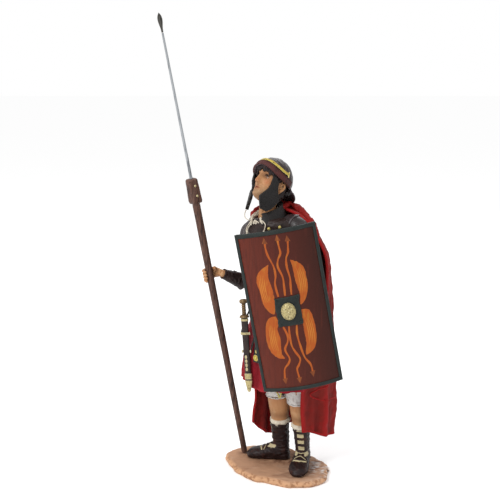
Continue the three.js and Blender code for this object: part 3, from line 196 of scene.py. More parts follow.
def loft(rings, start=None, end=None):
    """Closed rings joined in order, with a point closing each end."""
    rings = np.asarray(rings, float)
    rows, columns = rings.shape[:2]
    start = rings[0].mean(axis=0) if start is None else np.asarray(start, float)
    end = rings[-1].mean(axis=0) if end is None else np.asarray(end, float)
    vertices = np.concatenate([rings.reshape(-1, 3), [start], [end]])
    faces = quads(rows, columns, True)
    first, last, top = rows * columns, rows * columns + 1, (rows - 1) * columns
    for i in range(columns):
        k = (i + 1) % columns
        faces.append([first, k, i])
        faces.append([last, top + i, top + k])
    return vertices, faces


def closed_sweep(rings):
    """Closed rings joined in order, with the last joined to the first."""
    rows, columns = rings.shape[:2]
    faces = quads(rows, columns, True)
    for i in range(columns):
        k = (i + 1) % columns
        faces.append([(rows - 1) * columns + i, (rows - 1) * columns + k, k, i])
    return rings.reshape(-1, 3), faces


def path_rings(path, tangent, side, wide, deep, segments):
    """An oval round each point of a path: wide along the side direction, deep across it."""
    side = np.asarray(side, float)
    across = unit(side - tangent * (tangent @ side)[:, None])
    other = np.cross(tangent, across)
    angle = circle(segments)
    return (path[:, None] + across[:, None] * (wide[:, None] * np.cos(angle))[..., None]
            + other[:, None] * (deep[:, None] * np.sin(angle))[..., None])


def tube(path, radii, side=LEFTWARD, segments=16, round_ends=True, flat=1.0):
    """A round bar along a path of points; flat squeezes it across the side direction."""
    path = np.asarray(path, float)
    radii = np.broadcast_to(np.asarray(radii, float), (len(path),)).copy()
    tangent = unit(np.gradient(path, axis=0))
    if round_ends:
        steps = np.linspace(0, math.pi / 2, CAP_RINGS + 1)[:-1]
        head = [path[0] - tangent[0] * radii[0] * math.cos(a) for a in steps]
        tail = [path[-1] + tangent[-1] * radii[-1] * math.cos(a) for a in steps[::-1]]
        caps = [radii[0] * max(math.sin(a), 0.05) for a in steps]
        ends = [radii[-1] * max(math.sin(a), 0.05) for a in steps[::-1]]
        path = np.concatenate([head, path, tail])
        radii = np.concatenate([caps, radii, ends])
        tangent = np.concatenate([np.repeat(tangent[:1], CAP_RINGS, 0), tangent,
                                  np.repeat(tangent[-1:], CAP_RINGS, 0)])
    return loft(path_rings(path, tangent, side, radii, radii * flat, segments), path[0], path[-1])


def smooth_path(points, count):
    points = np.asarray(points, float)
    return blend(points, np.linspace(0, 1, count)).T


def limb(stations, side=LEFTWARD, segments=40, steps=40, round_ends=(0.0, 0.0), relief=None):
    """A limb through stations (x, y, z, wide, deep), rounded past its ends by the given lengths."""
    table = np.asarray(stations, float)
    t = np.linspace(0, 1, steps)
    values = blend(table, t).T
    path, wide, deep = values[:, :3], values[:, 3], values[:, 4]
    tangent = unit(np.gradient(path, axis=0))
    bow = np.linspace(1, 0.05, LIMB_CAP_RINGS + 1)[:-1]
    for end, length in enumerate(round_ends):
        if length <= 0:
            continue
        sign = -1 if end == 0 else 1
        index = 0 if end == 0 else -1
        shrink = np.sqrt(1 - bow[::-1] ** 2)[::-1]
        centres = path[index] + sign * tangent[index] * length * bow[:, None]
        rings = (centres, wide[index] * shrink, deep[index] * shrink,
                 np.repeat(tangent[index][None], LIMB_CAP_RINGS, 0))
        old = (path, wide, deep, tangent)
        if end == 0:
            path, wide, deep, tangent = [np.concatenate([new, was]) for new, was in zip(rings, old)]
        else:
            path, wide, deep, tangent = [np.concatenate([was, new[::-1]]) for new, was in zip(rings, old)]
    rings = path_rings(path, tangent, side, wide, deep, segments)
    if relief is not None:
        centre = path[:, None]
        rings = rings + unit(rings - centre + 1e-9) * relief(rings)[..., None]
    return loft(rings, path[0], path[-1])


def lathe(profile, segments=48, steps=6):
    """A turned solid about local Z from (radius, height) points, smoothed between them."""
    profile = np.asarray(profile, float)
    if steps > 1:
        profile = np.maximum(blend(profile, np.linspace(0, 1, (len(profile) - 1) * steps + 1)).T,
                             [0.0, -1e9])
    angle = circle(segments)
    rings = np.stack([profile[:, None, 0] * np.cos(angle), profile[:, None, 0] * np.sin(angle),
                      np.broadcast_to(profile[:, None, 1], (len(profile), segments))], axis=-1)
    return loft(rings)


def ball(centre, sizes, rotation=None, segments=24, rows=14):
    shares, angle = turn_grid(rows, segments)
    polar = (shares * 0.98 + 0.01) * math.pi
    local = np.stack([np.sin(polar) * np.cos(angle), np.sin(polar) * np.sin(angle), np.cos(polar)], axis=-1)
    local = local * np.asarray(sizes, float)
    if rotation is not None:
        local = local @ rotation.T
    return loft(local + np.asarray(centre, float))


def merged(parts):
    """Several (vertices, faces) as one."""
    vertices, faces, start = [], [], 0
    for points, cells in parts:
        vertices.append(np.asarray(points, float))
        faces += [[k + start for k in cell] for cell in cells]
        start += len(points)
    return np.concatenate(vertices), faces


# Objects

def make_mesh(name, part, lift=STANCE):
    vertices, faces = part
    points = (np.asarray(vertices, float) + lift) * MM
    mesh = bpy.data.meshes.new(name)
    mesh.from_pydata(points.tolist(), [], faces)
    mesh.update()
    body = bmesh.new()
    body.from_mesh(mesh)
    bmesh.ops.recalc_face_normals(body, faces=body.faces)
    body.to_mesh(mesh)
    body.free()
    return mesh


FINE_MESH = 5000  # faces above which a piece is thinned
THIN_SHARE = 0.4  # share of the triangles that a thinned piece keeps


def final_mesh(thing):
    """The mesh that an object's modifiers give."""
    graph = bpy.context.evaluated_depsgraph_get()
    return bpy.data.meshes.new_from_object(thing.evaluated_get(graph))


def thin_out(thing):
    """Fewer triangles where the form is smooth, which keeps the whole look light."""
    thin = thing.modifiers.new("thin", "DECIMATE")
    thin.ratio = THIN_SHARE
    light = final_mesh(thing)
    thing.modifiers.clear()
    thing.data = light


def piece(name, part, material, nodes=(), lift=STANCE, crease=None, values=None):
    """A piece of the look on the root body; values are named floats for each vertex."""
    mesh = part if isinstance(part, bpy.types.Mesh) else make_mesh(name, part, lift)
    mesh.shade_smooth()
    if crease is not None:
        mesh.set_sharp_from_angle(angle=math.radians(crease))
    for key, numbers in (values or {}).items():
        layer = mesh.attributes.new(key, "FLOAT", "POINT")
        layer.data.foreach_set("value", np.asarray(numbers, np.float32).ravel())
    thing = bpy.data.objects.new(name, mesh)
    bpy.context.scene.collection.objects.link(thing)
    materials = material if isinstance(material, (list, tuple)) else [material]
    mesh.materials.clear()
    for entry in materials:
        mesh.materials.append(entry)
    if len(mesh.polygons) > FINE_MESH and len(materials) == 1:
        thin_out(thing)
    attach(thing, "root")
    if nodes:
        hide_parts(*nodes)
    return thing


def fused(name, parts, voxel, smooth, relief=None):
    """Overlapping parts made one skin by a voxel remesh, then smoothed and given its relief."""
    mesh = make_mesh(name + "_raw", merged(parts))
    thing = bpy.data.objects.new(name + "_raw", mesh)
    bpy.context.scene.collection.objects.link(thing)
    remesh = thing.modifiers.new("remesh", "REMESH")
    remesh.mode = "VOXEL"
    remesh.voxel_size = voxel * MM
    soften = thing.modifiers.new("soften", "SMOOTH")
    soften.factor = 0.5
    soften.iterations = smooth
    result = final_mesh(thing)
    bpy.data.objects.remove(thing)
    if relief is not None:
        points, normals = mesh_points(result)
        move_points(result, points + normals * relief(points)[:, None])
    return result


def move_points(mesh, points):
    """Sets a mesh's vertices from millimetres in the soldier's frame."""
    mesh.vertices.foreach_set("co", ((points + STANCE) * MM).ravel())
    mesh.update()


def mesh_points(mesh):
    """A mesh's vertices in millimetres in the soldier's frame, and their normals."""
    count = len(mesh.vertices)
    points = np.empty(count * 3)
    normals = np.empty(count * 3)
    mesh.vertices.foreach_get("co", points)
    mesh.vertex_normals.foreach_get("vector", normals)
    return points.reshape(-1, 3) / MM - STANCE, normals.reshape(-1, 3)


# Materials

TONE = 0.6  # share of the lit colour that is the paint's own


def rgb(red, green, blue):
    def linear(value):
        value /= 255
        return TONE * (value / 12.92 if value <= 0.04045 else ((value + 0.055) / 1.055) ** 2.4)
    return (linear(red), linear(green), linear(blue), 1.0)


class Finish:
    """A procedural material built up in layers of colour, gloss and grain."""

    def __init__(self, name, colour, roughness=0.6, metallic=0.0, specular=0.2, coat=0.0, sheen=0.0):
        self.material = bpy.data.materials.new(name)
        self.material.use_nodes = True
        tree = self.material.node_tree
        self.nodes, self.links = tree.nodes, tree.links
        self.shader = self.nodes["Principled BSDF"]
        self.shader.inputs["Roughness"].default_value = roughness
        self.shader.inputs["Metallic"].default_value = metallic
        self.shader.inputs["Specular IOR Level"].default_value = specular
        self.shader.inputs["Coat Weight"].default_value = coat
        self.shader.inputs["Coat Roughness"].default_value = 0.3
        self.shader.inputs["Sheen Weight"].default_value = sheen
        self.place = self.nodes.new("ShaderNodeTexCoord").outputs["Object"]
        start = self.nodes.new("ShaderNodeRGB")
        start.outputs[0].default_value = colour
        self.colour = start.outputs[0]
        self.links.new(self.colour, self.shader.inputs["Base Color"])
        self.normal = None

    def noise(self, size, detail=4.0, stretch=(1, 1, 1), distortion=0.0, turn=(0, 0, 0)):
        """Noise with features of a size in millimetres; stretch lengthens them along an axis."""
        mapping = self.nodes.new("ShaderNodeMapping")
        mapping.inputs["Scale"].default_value = [1 / s for s in stretch]
        mapping.inputs["Rotation"].default_value = [math.radians(a) for a in turn]
        self.links.new(self.place, mapping.inputs["Vector"])
        texture = self.nodes.new("ShaderNodeTexNoise")
        texture.inputs["Scale"].default_value = 1 / (size * MM)
        texture.inputs["Detail"].default_value = detail
        texture.inputs["Distortion"].default_value = distortion
        self.links.new(mapping.outputs[0], texture.inputs["Vector"])
        return texture.outputs["Fac"]

    def cells(self, size):
        texture = self.nodes.new("ShaderNodeTexVoronoi")
        texture.inputs["Scale"].default_value = 1 / (size * MM)
        self.links.new(self.place, texture.inputs["Vector"])
        return texture.outputs["Distance"]

    def bands(self, size, direction):
        """Threads of a width in millimetres, one after another along an axis."""
        texture = self.nodes.new("ShaderNodeTexWave")
        texture.bands_direction = direction
        texture.inputs["Scale"].default_value = 1 / (size * MM * 3.2)
        texture.inputs["Distortion"].default_value = 0.6
        texture.inputs["Detail"].default_value = 3.0
        self.links.new(self.place, texture.inputs["Vector"])
        return texture.outputs["Fac"]

    def value(self, name):
        """A float kept on the mesh under that name."""
        attribute = self.nodes.new("ShaderNodeAttribute")
        attribute.attribute_name = name
        return attribute.outputs["Fac"]

    def between(self, factor, low, high):
        """factor stretched so that low gives 0 and high gives 1."""
        node = self.nodes.new("ShaderNodeMapRange")
        node.inputs["From Min"].default_value = low
        node.inputs["From Max"].default_value = high
        self.links.new(factor, node.inputs["Value"])
        return node.outputs[0]

    def times(self, a, b):
        node = self.nodes.new("ShaderNodeMath")
        node.operation = "MULTIPLY"
        for socket, source in zip(node.inputs, (a, b)):
            if isinstance(source, (int, float)):
                socket.default_value = source
            else:
                self.links.new(source, socket)
        return node.outputs[0]

    def layer(self, colour, factor, amount=1.0):
        """Paints a colour over what is there where factor is high."""
        mix = self.nodes.new("ShaderNodeMix")
        mix.data_type = "RGBA"
        self.links.new(self.times(factor, amount), mix.inputs[0])
        self.links.new(self.colour, mix.inputs[6])
        mix.inputs[7].default_value = colour
        self.colour = mix.outputs[2]
        self.links.new(self.colour, self.shader.inputs["Base Color"])
        return self

    def mottle(self, colour, low, high, amount, *noise, **more):
        """Paints a colour where noise passes from low to high."""
        return self.layer(colour, self.between(self.noise(*noise, **more), low, high), amount)

    def on_edges(self, colour, low, high, amount):
        """Paints a colour by how far the surface sticks out, which is about 0.5 where it is even; with low
        above high it colours the hollows, painted shade in the cloth, leather, linen and skin finishes.
        """
        sharpness = self.nodes.new("ShaderNodeNewGeometry").outputs["Pointiness"]
        return self.layer(colour, self.between(sharpness, low, high), amount)

    def gloss(self, factor, low, high):
        node = self.nodes.new("ShaderNodeMapRange")
        node.inputs["To Min"].default_value = low
        node.inputs["To Max"].default_value = high
        self.links.new(factor, node.inputs["Value"])
        self.links.new(node.outputs[0], self.shader.inputs["Roughness"])
        return self

    def relief(self, height, depth, strength=0.6):
        """Grain of a depth in millimetres."""
        node = self.nodes.new("ShaderNodeBump")
        node.inputs["Strength"].default_value = strength
        node.inputs["Distance"].default_value = depth * MM
        self.links.new(height, node.inputs["Height"])
        if self.normal is not None:
            self.links.new(self.normal, node.inputs["Normal"])
        self.normal = node.outputs[0]
        self.links.new(self.normal, self.shader.inputs["Normal"])
        return self


def cloth_finish(name, colour, bright, deep):
    look = Finish(name, colour, 0.72, specular=0.12)
    look.mottle(bright, 0.5, 0.72, 0.55, 9, 5)
    look.mottle(deep, 0.52, 0.75, 0.55, 15, 4, (1, 1, 3))
    # Painted shade in the fold valleys and painted highlight on the fold ridges, from the fold value
    look.layer(deep, look.between(look.value("fold"), 0.5, 0.02), 0.7)
    look.layer(bright, look.between(look.value("fold"), 0.66, 1.0), 0.8)
    # Painted shade in the hollows
    look.on_edges(deep, 0.49, 0.44, 0.6)
    look.layer(bright, look.value("hem"), 0.85)
    look.gloss(look.noise(5), 0.55, 0.85)
    look.relief(look.noise(0.55, 2), 0.25, 0.35)
    look.relief(look.noise(3.5, 4, (1, 1, 3)), 0.7, 0.4)
    return look.material


def leather_finish(name, colour, wear_and_sheen, deep, roughness=(0.35, 0.65), size=8, scuff_and_sheen=0.5):
    look = Finish(name, colour, 0.5, specular=0.3)
    look.mottle(deep, 0.5, 0.68, 0.8, size, 5)
    # Lighter patches and edges: scuffed wear, and on the helmet painted sheen
    look.mottle(wear_and_sheen, 0.55, 0.75, scuff_and_sheen, size * 0.45, 6)
    look.on_edges(wear_and_sheen, 0.515, 0.57, 0.6)
    # Painted shade in the hollows
    look.on_edges(deep, 0.485, 0.43, 0.8)
    look.gloss(look.noise(3), *roughness)
    look.relief(look.cells(0.9), 0.2, 0.4)
    look.relief(look.noise(2.5, 5), 0.4, 0.4)
    return look.material


def metal_finish(name, colour, dark, bright, metallic=0.85, roughness=(0.25, 0.5), size=1.6):
    look = Finish(name, colour, 0.35, metallic)
    look.mottle(dark, 0.48, 0.66, 0.75, size, 5)
    look.on_edges(dark, 0.49, 0.44, 0.9)
    look.on_edges(bright, 0.51, 0.56, 0.8)
    look.gloss(look.noise(size), *roughness)
    look.relief(look.noise(size * 0.7, 4), 0.25, 0.5)
    return look.material


def linen_finish(name, colour, shade):
    look = Finish(name, colour, 0.85, specular=0.2, sheen=0.1)
    look.mottle(shade, 0.5, 0.7, 0.7, 5, 5)
    look.on_edges(shade, 0.49, 0.43, 0.9)
    look.mottle(rgb(120, 112, 106), 0.56, 0.72, 0.35, 1.1, 3)
    look.relief(look.bands(0.5, "Z"), 0.15, 0.4)
    look.relief(look.bands(0.5, "X"), 0.15, 0.4)
    look.relief(look.noise(2, 4), 0.4, 0.4)
    return look.material


def wood_finish(name, colour, grain, turn=(0, 0, 0), light=rgb(104, 80, 72)):
    look = Finish(name, colour, 0.55)
    look.mottle(grain, 0.46, 0.62, 0.9, 1.4, 6, (1, 1, 22), 0.4, turn)
    look.mottle(light, 0.54, 0.72, 0.6, 2.2, 5, (1, 1, 16), 0.2, turn)
    look.on_edges(light, 0.52, 0.58, 0.5)
    look.gloss(look.noise(4), 0.42, 0.7)
    look.relief(look.noise(0.9, 5, (1, 1, 25), 0.3, turn), 0.3, 0.6)
    return look.material


# Base: a plaque of earth with a broken edge, painted shadow round the boots, under the cloak and at the
# spear butt, and a scratched patch

BASE_LONG = 110.0
BASE_SHORT = 76.0
BASE_TURN = 42.0
PATCH_CENTRE = np.array([42.0, -11.0])
# Painted shadow: x, y and size of dark spots round the boots, under the cloak and at the spear butt
SHADOW_SPOTS = ((-12, 12, 15), (8, 8, 10), (20, -14, 13), (30, -2, 9), (-36, 26, 6), (2, 30, 14))


def base_outline(angle, inset):
    axis = angle + math.radians(BASE_TURN)
    a, b = BASE_LONG / 2, BASE_SHORT / 2
    oval = a * b / np.hypot(b * np.cos(axis), a * np.sin(axis))
    wave = 1.1 * np.sin(5 * angle + 1) + 0.7 * np.sin(9 * angle + 2.3) + 0.4 * np.sin(17 * angle)
    return oval + wave - inset


def base_piece():
    columns = 300
    angle = circle(columns)
    side = [(0, 2.2), (0.02, 1.8), (1.1, 0.8), (2.1, 0.2), (3.0, 0.1), (3.9, 0.5), (4.7, 1.2), (5.3, 2.1),
            (5.8, 3.2), (6.0, 4.2)]
    rings = []
    for z, inset in side:
        r = base_outline(angle, inset)
        rings.append(np.stack([r * np.cos(angle), r * np.sin(angle), np.full(columns, z)], axis=-1))
    for share in np.linspace(1, 0.03, 70)[1:]:
        r = base_outline(angle, 4.2) * share
        rings.append(np.stack([r * np.cos(angle), r * np.sin(angle), np.full(columns, BASE_THICK)],
                              axis=-1))
    rings = np.array(rings)
    flat = rings[..., :2]
    top = np.clip((rings[..., 2] - 4.5) / 1.5, 0, 1)
    patch = np.exp(-(((flat - PATCH_CENTRE) / [13, 22]) ** 2).sum(axis=-1) * 1.4)
    scratch = waves(rings * [1, 4, 1], 5.5, 3) * patch
    rings[..., 2] += top * (-0.28 + 0.16 * waves(rings, 22, 1) + 0.07 * waves(rings, 6, 2)
                            - 0.3 * np.abs(scratch))
    edge = np.exp(-((rings[..., 2] - 3.4) / 2.4) ** 2)
    chips = 0.35 * waves(rings * [1, 1, 1.6], 7, 5) + 0.25 * waves(rings, 3.2, 6)
    radial = unit(np.concatenate([flat, np.zeros(flat.shape[:2] + (1,))], axis=-1))
    under = rings[..., 2] > 0.01
    rings += radial * (edge * (chips - 0.45) * under)[..., None]
    cast_shadow = sum(np.exp(-(((flat - STANCE[:2] - [x, y]) / size) ** 2).sum(axis=-1)) for x, y, size in SHADOW_SPOTS)
    lip = np.clip((flat ** 2).sum(axis=-1) ** 0.5 / base_outline(angle, 3.2)[None], 0, 1.1)
    look = Finish("earth_paint", rgb(214, 166, 132), 0.8, specular=0.1)
    look.mottle(rgb(238, 198, 168), 0.5, 0.7, 0.7, 16, 5, (2, 1, 1))
    look.mottle(rgb(150, 104, 78), 0.54, 0.72, 0.6, 9, 6, (2.4, 1, 1))
    # Painted shadow: dark brown round the boots, under the cloak and at the spear butt
    shadow_mask = look.times(look.value("cast_shadow"), look.between(look.noise(7, 5), 0.3, 0.6))
    look.layer(rgb(104, 60, 40), shadow_mask, 0.85)
    look.layer(rgb(244, 190, 146), look.between(look.value("lip"), 0.97, 1.06), 0.8)
    look.layer(rgb(150, 98, 62), look.times(look.between(look.value("lip"), 0.96, 1.02),
                                           look.between(look.noise(3.5, 5), 0.5, 0.62)), 0.6)
    look.layer(rgb(250, 244, 240),
               look.times(look.value("patch"), look.between(look.noise(2.6, 5, (3, 1, 1)), 0.47, 0.6)), 0.9)
    look.layer(rgb(70, 48, 42),
               look.times(look.value("patch"),
                          look.between(look.noise(3.4, 5, (3, 1, 1), 0.5), 0.55, 0.66)), 0.8)
    look.gloss(look.noise(6), 0.6, 0.9)
    look.relief(look.noise(1.1, 6), 0.35, 0.5)
    look.relief(look.noise(5, 5, (2.5, 1, 1)), 0.6, 0.4)
    pad = [0, 0]
    values = {
        "cast_shadow": np.concatenate([np.clip(cast_shadow, 0, 1).ravel(), pad]),
        "lip": np.concatenate([lip.ravel(), pad]),
        "patch": np.concatenate([np.clip(patch * 1.5, 0, 1).ravel(), pad]),
    }
    piece("earth_base", loft(rings, (0, 0, 0), (0, 0, BASE_THICK - 0.2)), look.material,
          ["base"], lift=0, values=values, crease=50)


# Cloak: stiff cloth from the collar to below the knees, with deep folds, a thick hem
# and a turned-back corner

CLOAK = [
    (240, -42, -11, 3, 10, 10, 11, 10, 20, 168),
    (235.6, -42, -11, 3, 26.4, 24, 18, 18, 14, 160),
    (226.5, -31, -11, 3, 37.4, 32, 23, 22, 4, 150),
    (201, -22, -10, 4, 50, 31, 30, 28, -6, 136),
    (176, -16, -9, 5, 51.5, 31, 31, 32, -14, 135),
    (152, -12, -7, 5, 51.3, 32, 32, 35, -24, 136),
    (131, -10, -6, 5, 50.3, 33, 33, 37, -40, 138),
    (108, -8, -4.5, 5, 49.3, 33, 34, 37, -52, 141),
    (90, -6, -3, 5, 48.2, 33, 34, 36.7, -60, 143),
    (74, -4, -1.5, 5.6, 47.6, 32, 34, 31, -67, 145),
    (54, -3, 0, 6, 46.8, 31, 34, 25.6, -69.5, 148),
    (40, -1, 1, 6, 44.7, 33, 34, 23, -70, 150),
    (27, 0, 2, 6, 42.3, 35, 34, 21.3, -70, 150),
]


# The bright edge of the turned-back corner, as shares down and across the cloak
FOLDED_CORNER = ((0.713, 0.28), (0.722, 0.16), (0.745, 0.07), (0.76, 0.05), (0.775, 0.08), (0.787, 0.155),
                 (0.789, 0.28))


def cloak_fold(t, u):
    """How far the cloth stands out of its plain form, and where its valleys are."""
    deepening = np.maximum(0, t - 0.18) ** 1.2
    broad = np.sin(2 * math.pi * (7.5 * u + 0.16 * np.sin(5 * u + 2 * t)))
    narrow = np.sin(2 * math.pi * (13 * u + 0.3))
    drawn = 0.5 * np.sin(2 * math.pi * (10.5 * u + 0.5 * t + 0.1 * np.sin(9 * t)))
    fall = 1 - np.exp(-((t - 0.12) / 0.2) ** 2)
    return deepening * (2.6 * broad + 1.1 * narrow) + 0.55 * fall * drawn


def cloak_surface(t, u, offset=0.0):
    z, yaw, cx, cy, left, right, back, front, start, end = blend(CLOAK, t)
    angle = np.radians(start + (end - start) * u)
    cosine, sine = np.cos(angle), np.sin(angle)
    fold = cloak_fold(t, u)
    across = np.where(cosine > 0, left, right) + fold + offset
    away = np.where(sine > 0, back, front) + fold + offset
    corner = 1 + 9 * bump(u, 0, 0.13) - 12 * bump(u, 0.83, 0.09) + 5 * np.maximum(0, u - 0.92) / 0.08
    hem = t ** 6 * (corner - 3 * bump(u, 0.6, 0.08))
    turn = np.radians(yaw)
    x = cx + across * cosine * np.cos(turn) - away * sine * np.sin(turn)
    y = cy + across * cosine * np.sin(turn) + away * sine * np.cos(turn)
    return np.stack([x, y, z + hem], axis=-1)


def cloak_pieces(cloth):
    t, u = grid(230, 330)
    points = cloak_surface(t, u)
    creases = 0.22 * waves(points, 9, 11) + 0.12 * waves(points * [1, 1, 0.4], 3.4, 12)
    points += sheet_normals(points, False) * creases[..., None]
    # fold carries the painted shade in the fold valleys and the painted highlight on the ridges
    fold = np.clip(0.5 + cloak_fold(t, u) / 5.2, 0, 1)
    rim = np.maximum(bump(t, 1, 0.014), np.maximum(bump(u, 0, 0.009), bump(u, 1, 0.009)))
    values = {"fold": np.tile(fold.ravel(), 2), "hem": np.tile(rim.ravel(), 2)}
    piece("cloak_cloth", wall(points, CLOTH), cloth, ["cloak"], values=values, crease=60)

    edge = []
    for path_t, path_u in (
        (np.linspace(0.02, 1, 160), np.full(160, 0.0)),
        (np.full(240, 1.0), np.linspace(0, 1, 240)),
        (np.linspace(1, 0.02, 160), np.full(160, 1.0)),
    ):
        edge.append(tube(cloak_surface(path_t, path_u), 1.25, side=UP + 0.01, segments=10))
    shares = np.linspace(0, 1, 60)
    drape = np.linspace(0, 1, 16)[:, None, None]
    over = smooth_path(COLLAR, 60)
    under = cloak_surface(np.full(60, 0.07), 1 - shares)
    sheet = over * (1 - drape) + under * drape + UP * (1.2 * np.sin(drape * math.pi))
    edge.append(wall(sheet, CLOTH))
    fold_line = smooth_path(FOLDED_CORNER, 90)
    edge.append(tube(cloak_surface(fold_line[:, 0], fold_line[:, 1], 0.9), 0.7, side=UP, segments=10))
    hem = merged(edge)
    count = len(hem[0])
    # A fold value of 0.85 gives all the edge tubes a painted highlight
    piece("cloak_hem", hem, cloth,
          values={"fold": np.full(count, 0.85), "hem": np.full(count, 0.9)})


# A rolled collar where the cloak leaves the neck and crosses the left shoulder

COLLAR = ((-28, 14, 231), (-24, 18, 236.5), (-14, 19, 240.5), (-2, 15, 242.6), (7, 8, 242), (13, 1, 239.5),
          (18.5, -6.5, 234.6), (23.5, -12.6, 228), (27.5, -17.5, 219))
TONGUE = ((4.5, 6, 243.5), (-1, -2, 241.5), (-5.5, -8, 238.2), (-9.5, -12.5, 233.6))


def collar_roll(cloth):
    path = smooth_path(COLLAR, 120)
    share = np.linspace(0, 1, 120)
    radius = 2.3 + 0.25 * np.sin(share * 23)
    roll = tube(path, radius, side=UP, segments=28, flat=1.5)
    tongue = tube(smooth_path(TONGUE, 60), np.interp(np.linspace(0, 1, 60), [0, 0.5, 1], [2.4, 2.2, 1.1]),
                  side=UP, segments=20, flat=1.0)
    mesh = fused("cloak_collar", [roll, tongue], 0.4, 2, lambda p: 0.22 * waves(p, 3.2, 14))
    count = len(mesh.vertices)
    # A fold value of 0.75 gives the whole roll a little painted highlight
    piece("cloak_collar", mesh, cloth,
          values={"fold": np.full(count, 0.75), "hem": np.full(count, 0.25)})


# Torso, armour and skirt share one stack of level sections

CUIRASS = [
    (146, -5.4, 1.4, 22, 16.5, 0), (156, -6, 2, 20.9, 15.4, 0), (176, -8, 3, 23.4, 17.4, 1),
    (196, -10, 3, 26.6, 19.6, 3), (212, -10, 3, 28.6, 19.4, 4.5), (224, -13, 0, 25, 17.6, 6),
    (232, -15.5, -2, 13.5, 13, 1.5),
]
SKIRT = [
    (144, -5.2, 1.2, 23.4, 18, 0), (134, -5, 1, 26.4, 20.6, 0), (118, -4.6, 0.4, 30, 24.5, 0),
    (98, -4.4, 0, 32.4, 27, 0), (80, -4.2, 0, 34, 28.4, 0),
]
BELT_TOP = 150.5
BELT_HEIGHT = 9.0
BELT_X, BELT_Y = -5.3, 1.3
BELT_WIDE, BELT_DEEP = 26.2, 20.6  # inside, at the top edge
BELT_THICK = 0.9


def stack_surface(stations, t, angle, offset=0.0):
    z, cx, cy, wide, deep, lift = blend(stations, t)
    cosine, sine = np.cos(angle), np.sin(angle)
    centre = np.stack([cx, cy, z + lift * cosine], axis=-1)
    return (centre + ((wide + offset) * cosine)[..., None] * LEFTWARD
            + ((deep + offset) * sine)[..., None] * BACKWARD)


def skirt_surface(t, angle, offset):
    fold = np.sin(13 * angle + 0.9 * np.sin(3 * angle)) + 0.45 * np.sin(7 * angle + 1.3)
    place = stack_surface(SKIRT, t, angle, offset + 1.5 * t ** 0.8 * fold)
    place[..., 2] += t * t * (1.6 * np.sin(2 * angle + 0.6) + 0.9 * np.sin(5 * angle))
    return place, fold


def skirt_piece(cloth):
    t, angle = turn_grid(110, 460)
    points, fold = skirt_surface(t, angle, GAP + CLOTH / 2)
    points += sheet_normals(points, True) * (0.2 * waves(points, 6, 21))[..., None]
    # fold carries the painted shade in the pleat valleys and the painted highlight on their ridges
    fold = np.clip(0.5 + 0.36 * fold * (0.3 + 0.7 * t), 0, 1)
    values = {"fold": np.tile(fold.ravel(), 2), "hem": np.tile(bump(t, 1, 0.03).ravel(), 2)}
    piece("tunic_cloth", wall(points, CLOTH, closed=True), cloth, ["tunic_skirt"],
          values=values, crease=60)


def chest_relief(t, angle):
    """Carved chest and belly muscles, and a raised yoke over the shoulders."""
    front = np.cos(angle - math.radians(270))
    side = np.sin(angle - math.radians(270))
    chest = bump(t, 0.56, 0.13) * (bump(side, 0.42, 0.3) + bump(side, -0.42, 0.3)) * np.maximum(front, 0)
    belly = sum(bump(t, level, 0.055) * (bump(side, 0.2, 0.14) + bump(side, -0.2, 0.14))
                for level in (0.12, 0.25, 0.38))
    groove = -0.5 * bump(side, 0, 0.05) * np.maximum(front, 0) * (t < 0.7)
    yoke = 0.7 / (1 + np.exp(-(t - 0.74) / 0.006))
    return 0.9 * chest + 0.5 * belly * np.maximum(front, 0) + groove + yoke - 0.6 * bump(t, 0.735, 0.01)


def cuirass_piece(leather):
    t, angle = turn_grid(190, 300)
    out = stack_surface(CUIRASS, t, angle, LEATHER - 0.9)
    relief = chest_relief(t, angle)
    roll = 0.9 * bump(t, 0, 0.02) + 0.7 * bump(t, 1, 0.02)
    radial = unit(np.cos(angle)[..., None] * LEFTWARD + np.sin(angle)[..., None] * BACKWARD)
    out += radial * (relief + roll + 0.12 * waves(out, 4, 31))[..., None]
    piece("armour_body", loft(out), leather, ["cuirass"], crease=50)


def studs_and_belt(leather, brass):
    studs = []
    for angle in (5.2, 5.57):
        at = stack_surface(CUIRASS, np.array(0.8), np.array(angle), LEATHER + 0.5)
        studs.append(ball(at, (1.35, 1.35, 1.35)))
        studs.append(tube(smooth_path([at + [0, 0, -0.1], at, at + [0, 0, 0.1]], 3), 1.0, segments=12))
    piece("armour_studs", merged(studs), brass, ["cuirass_stud_1", "cuirass_stud_2"])

    t, angle = turn_grid(30, 260)
    bulge = 0.35 * (1 - (2 * t - 1) ** 6) + 0.3 * (bump(t, 0.06, 0.05) + bump(t, 0.94, 0.05))
    wide = BELT_WIDE + 1.4 * t
    deep = BELT_DEEP + 1.2 * t
    z = BELT_TOP - BELT_HEIGHT * t

    def belt_ring(extra):
        return (np.stack([BELT_X + 0 * z, BELT_Y + 0 * z, z], axis=-1)
                + ((wide + extra) * np.cos(angle))[..., None] * LEFTWARD
                + ((deep + extra) * np.sin(angle))[..., None] * BACKWARD)

    piece("waist_belt", shell(belt_ring(BELT_THICK + bulge), belt_ring(0), True), leather,
          ["belt"], crease=50)

    plates = []
    for angle in np.radians(np.arange(0, 360, 18)):
        wide, deep = BELT_WIDE + 2.4, BELT_DEEP + 2.1
        out = math.cos(angle) * LEFTWARD * wide + math.sin(angle) * BACKWARD * deep
        centre = out + [BELT_X, BELT_Y, BELT_TOP - BELT_HEIGHT / 2]
        normal = unit(math.cos(angle) / wide * LEFTWARD + math.sin(angle) / deep * BACKWARD)
        plates.append(ball(centre, (1.1, 1.1, 1.1)) if round(math.degrees(angle) / 18) % 2 else
                      ball(centre - normal * 0.5, (0.9, 2.6, 3.2),
                           np.stack([normal, np.cross(UP, normal), UP], axis=1)))
    piece("belt_plates", merged(plates), brass)


# Shoulder guards: lames that overlap like tiles over the top of each arm

LAMES = 3


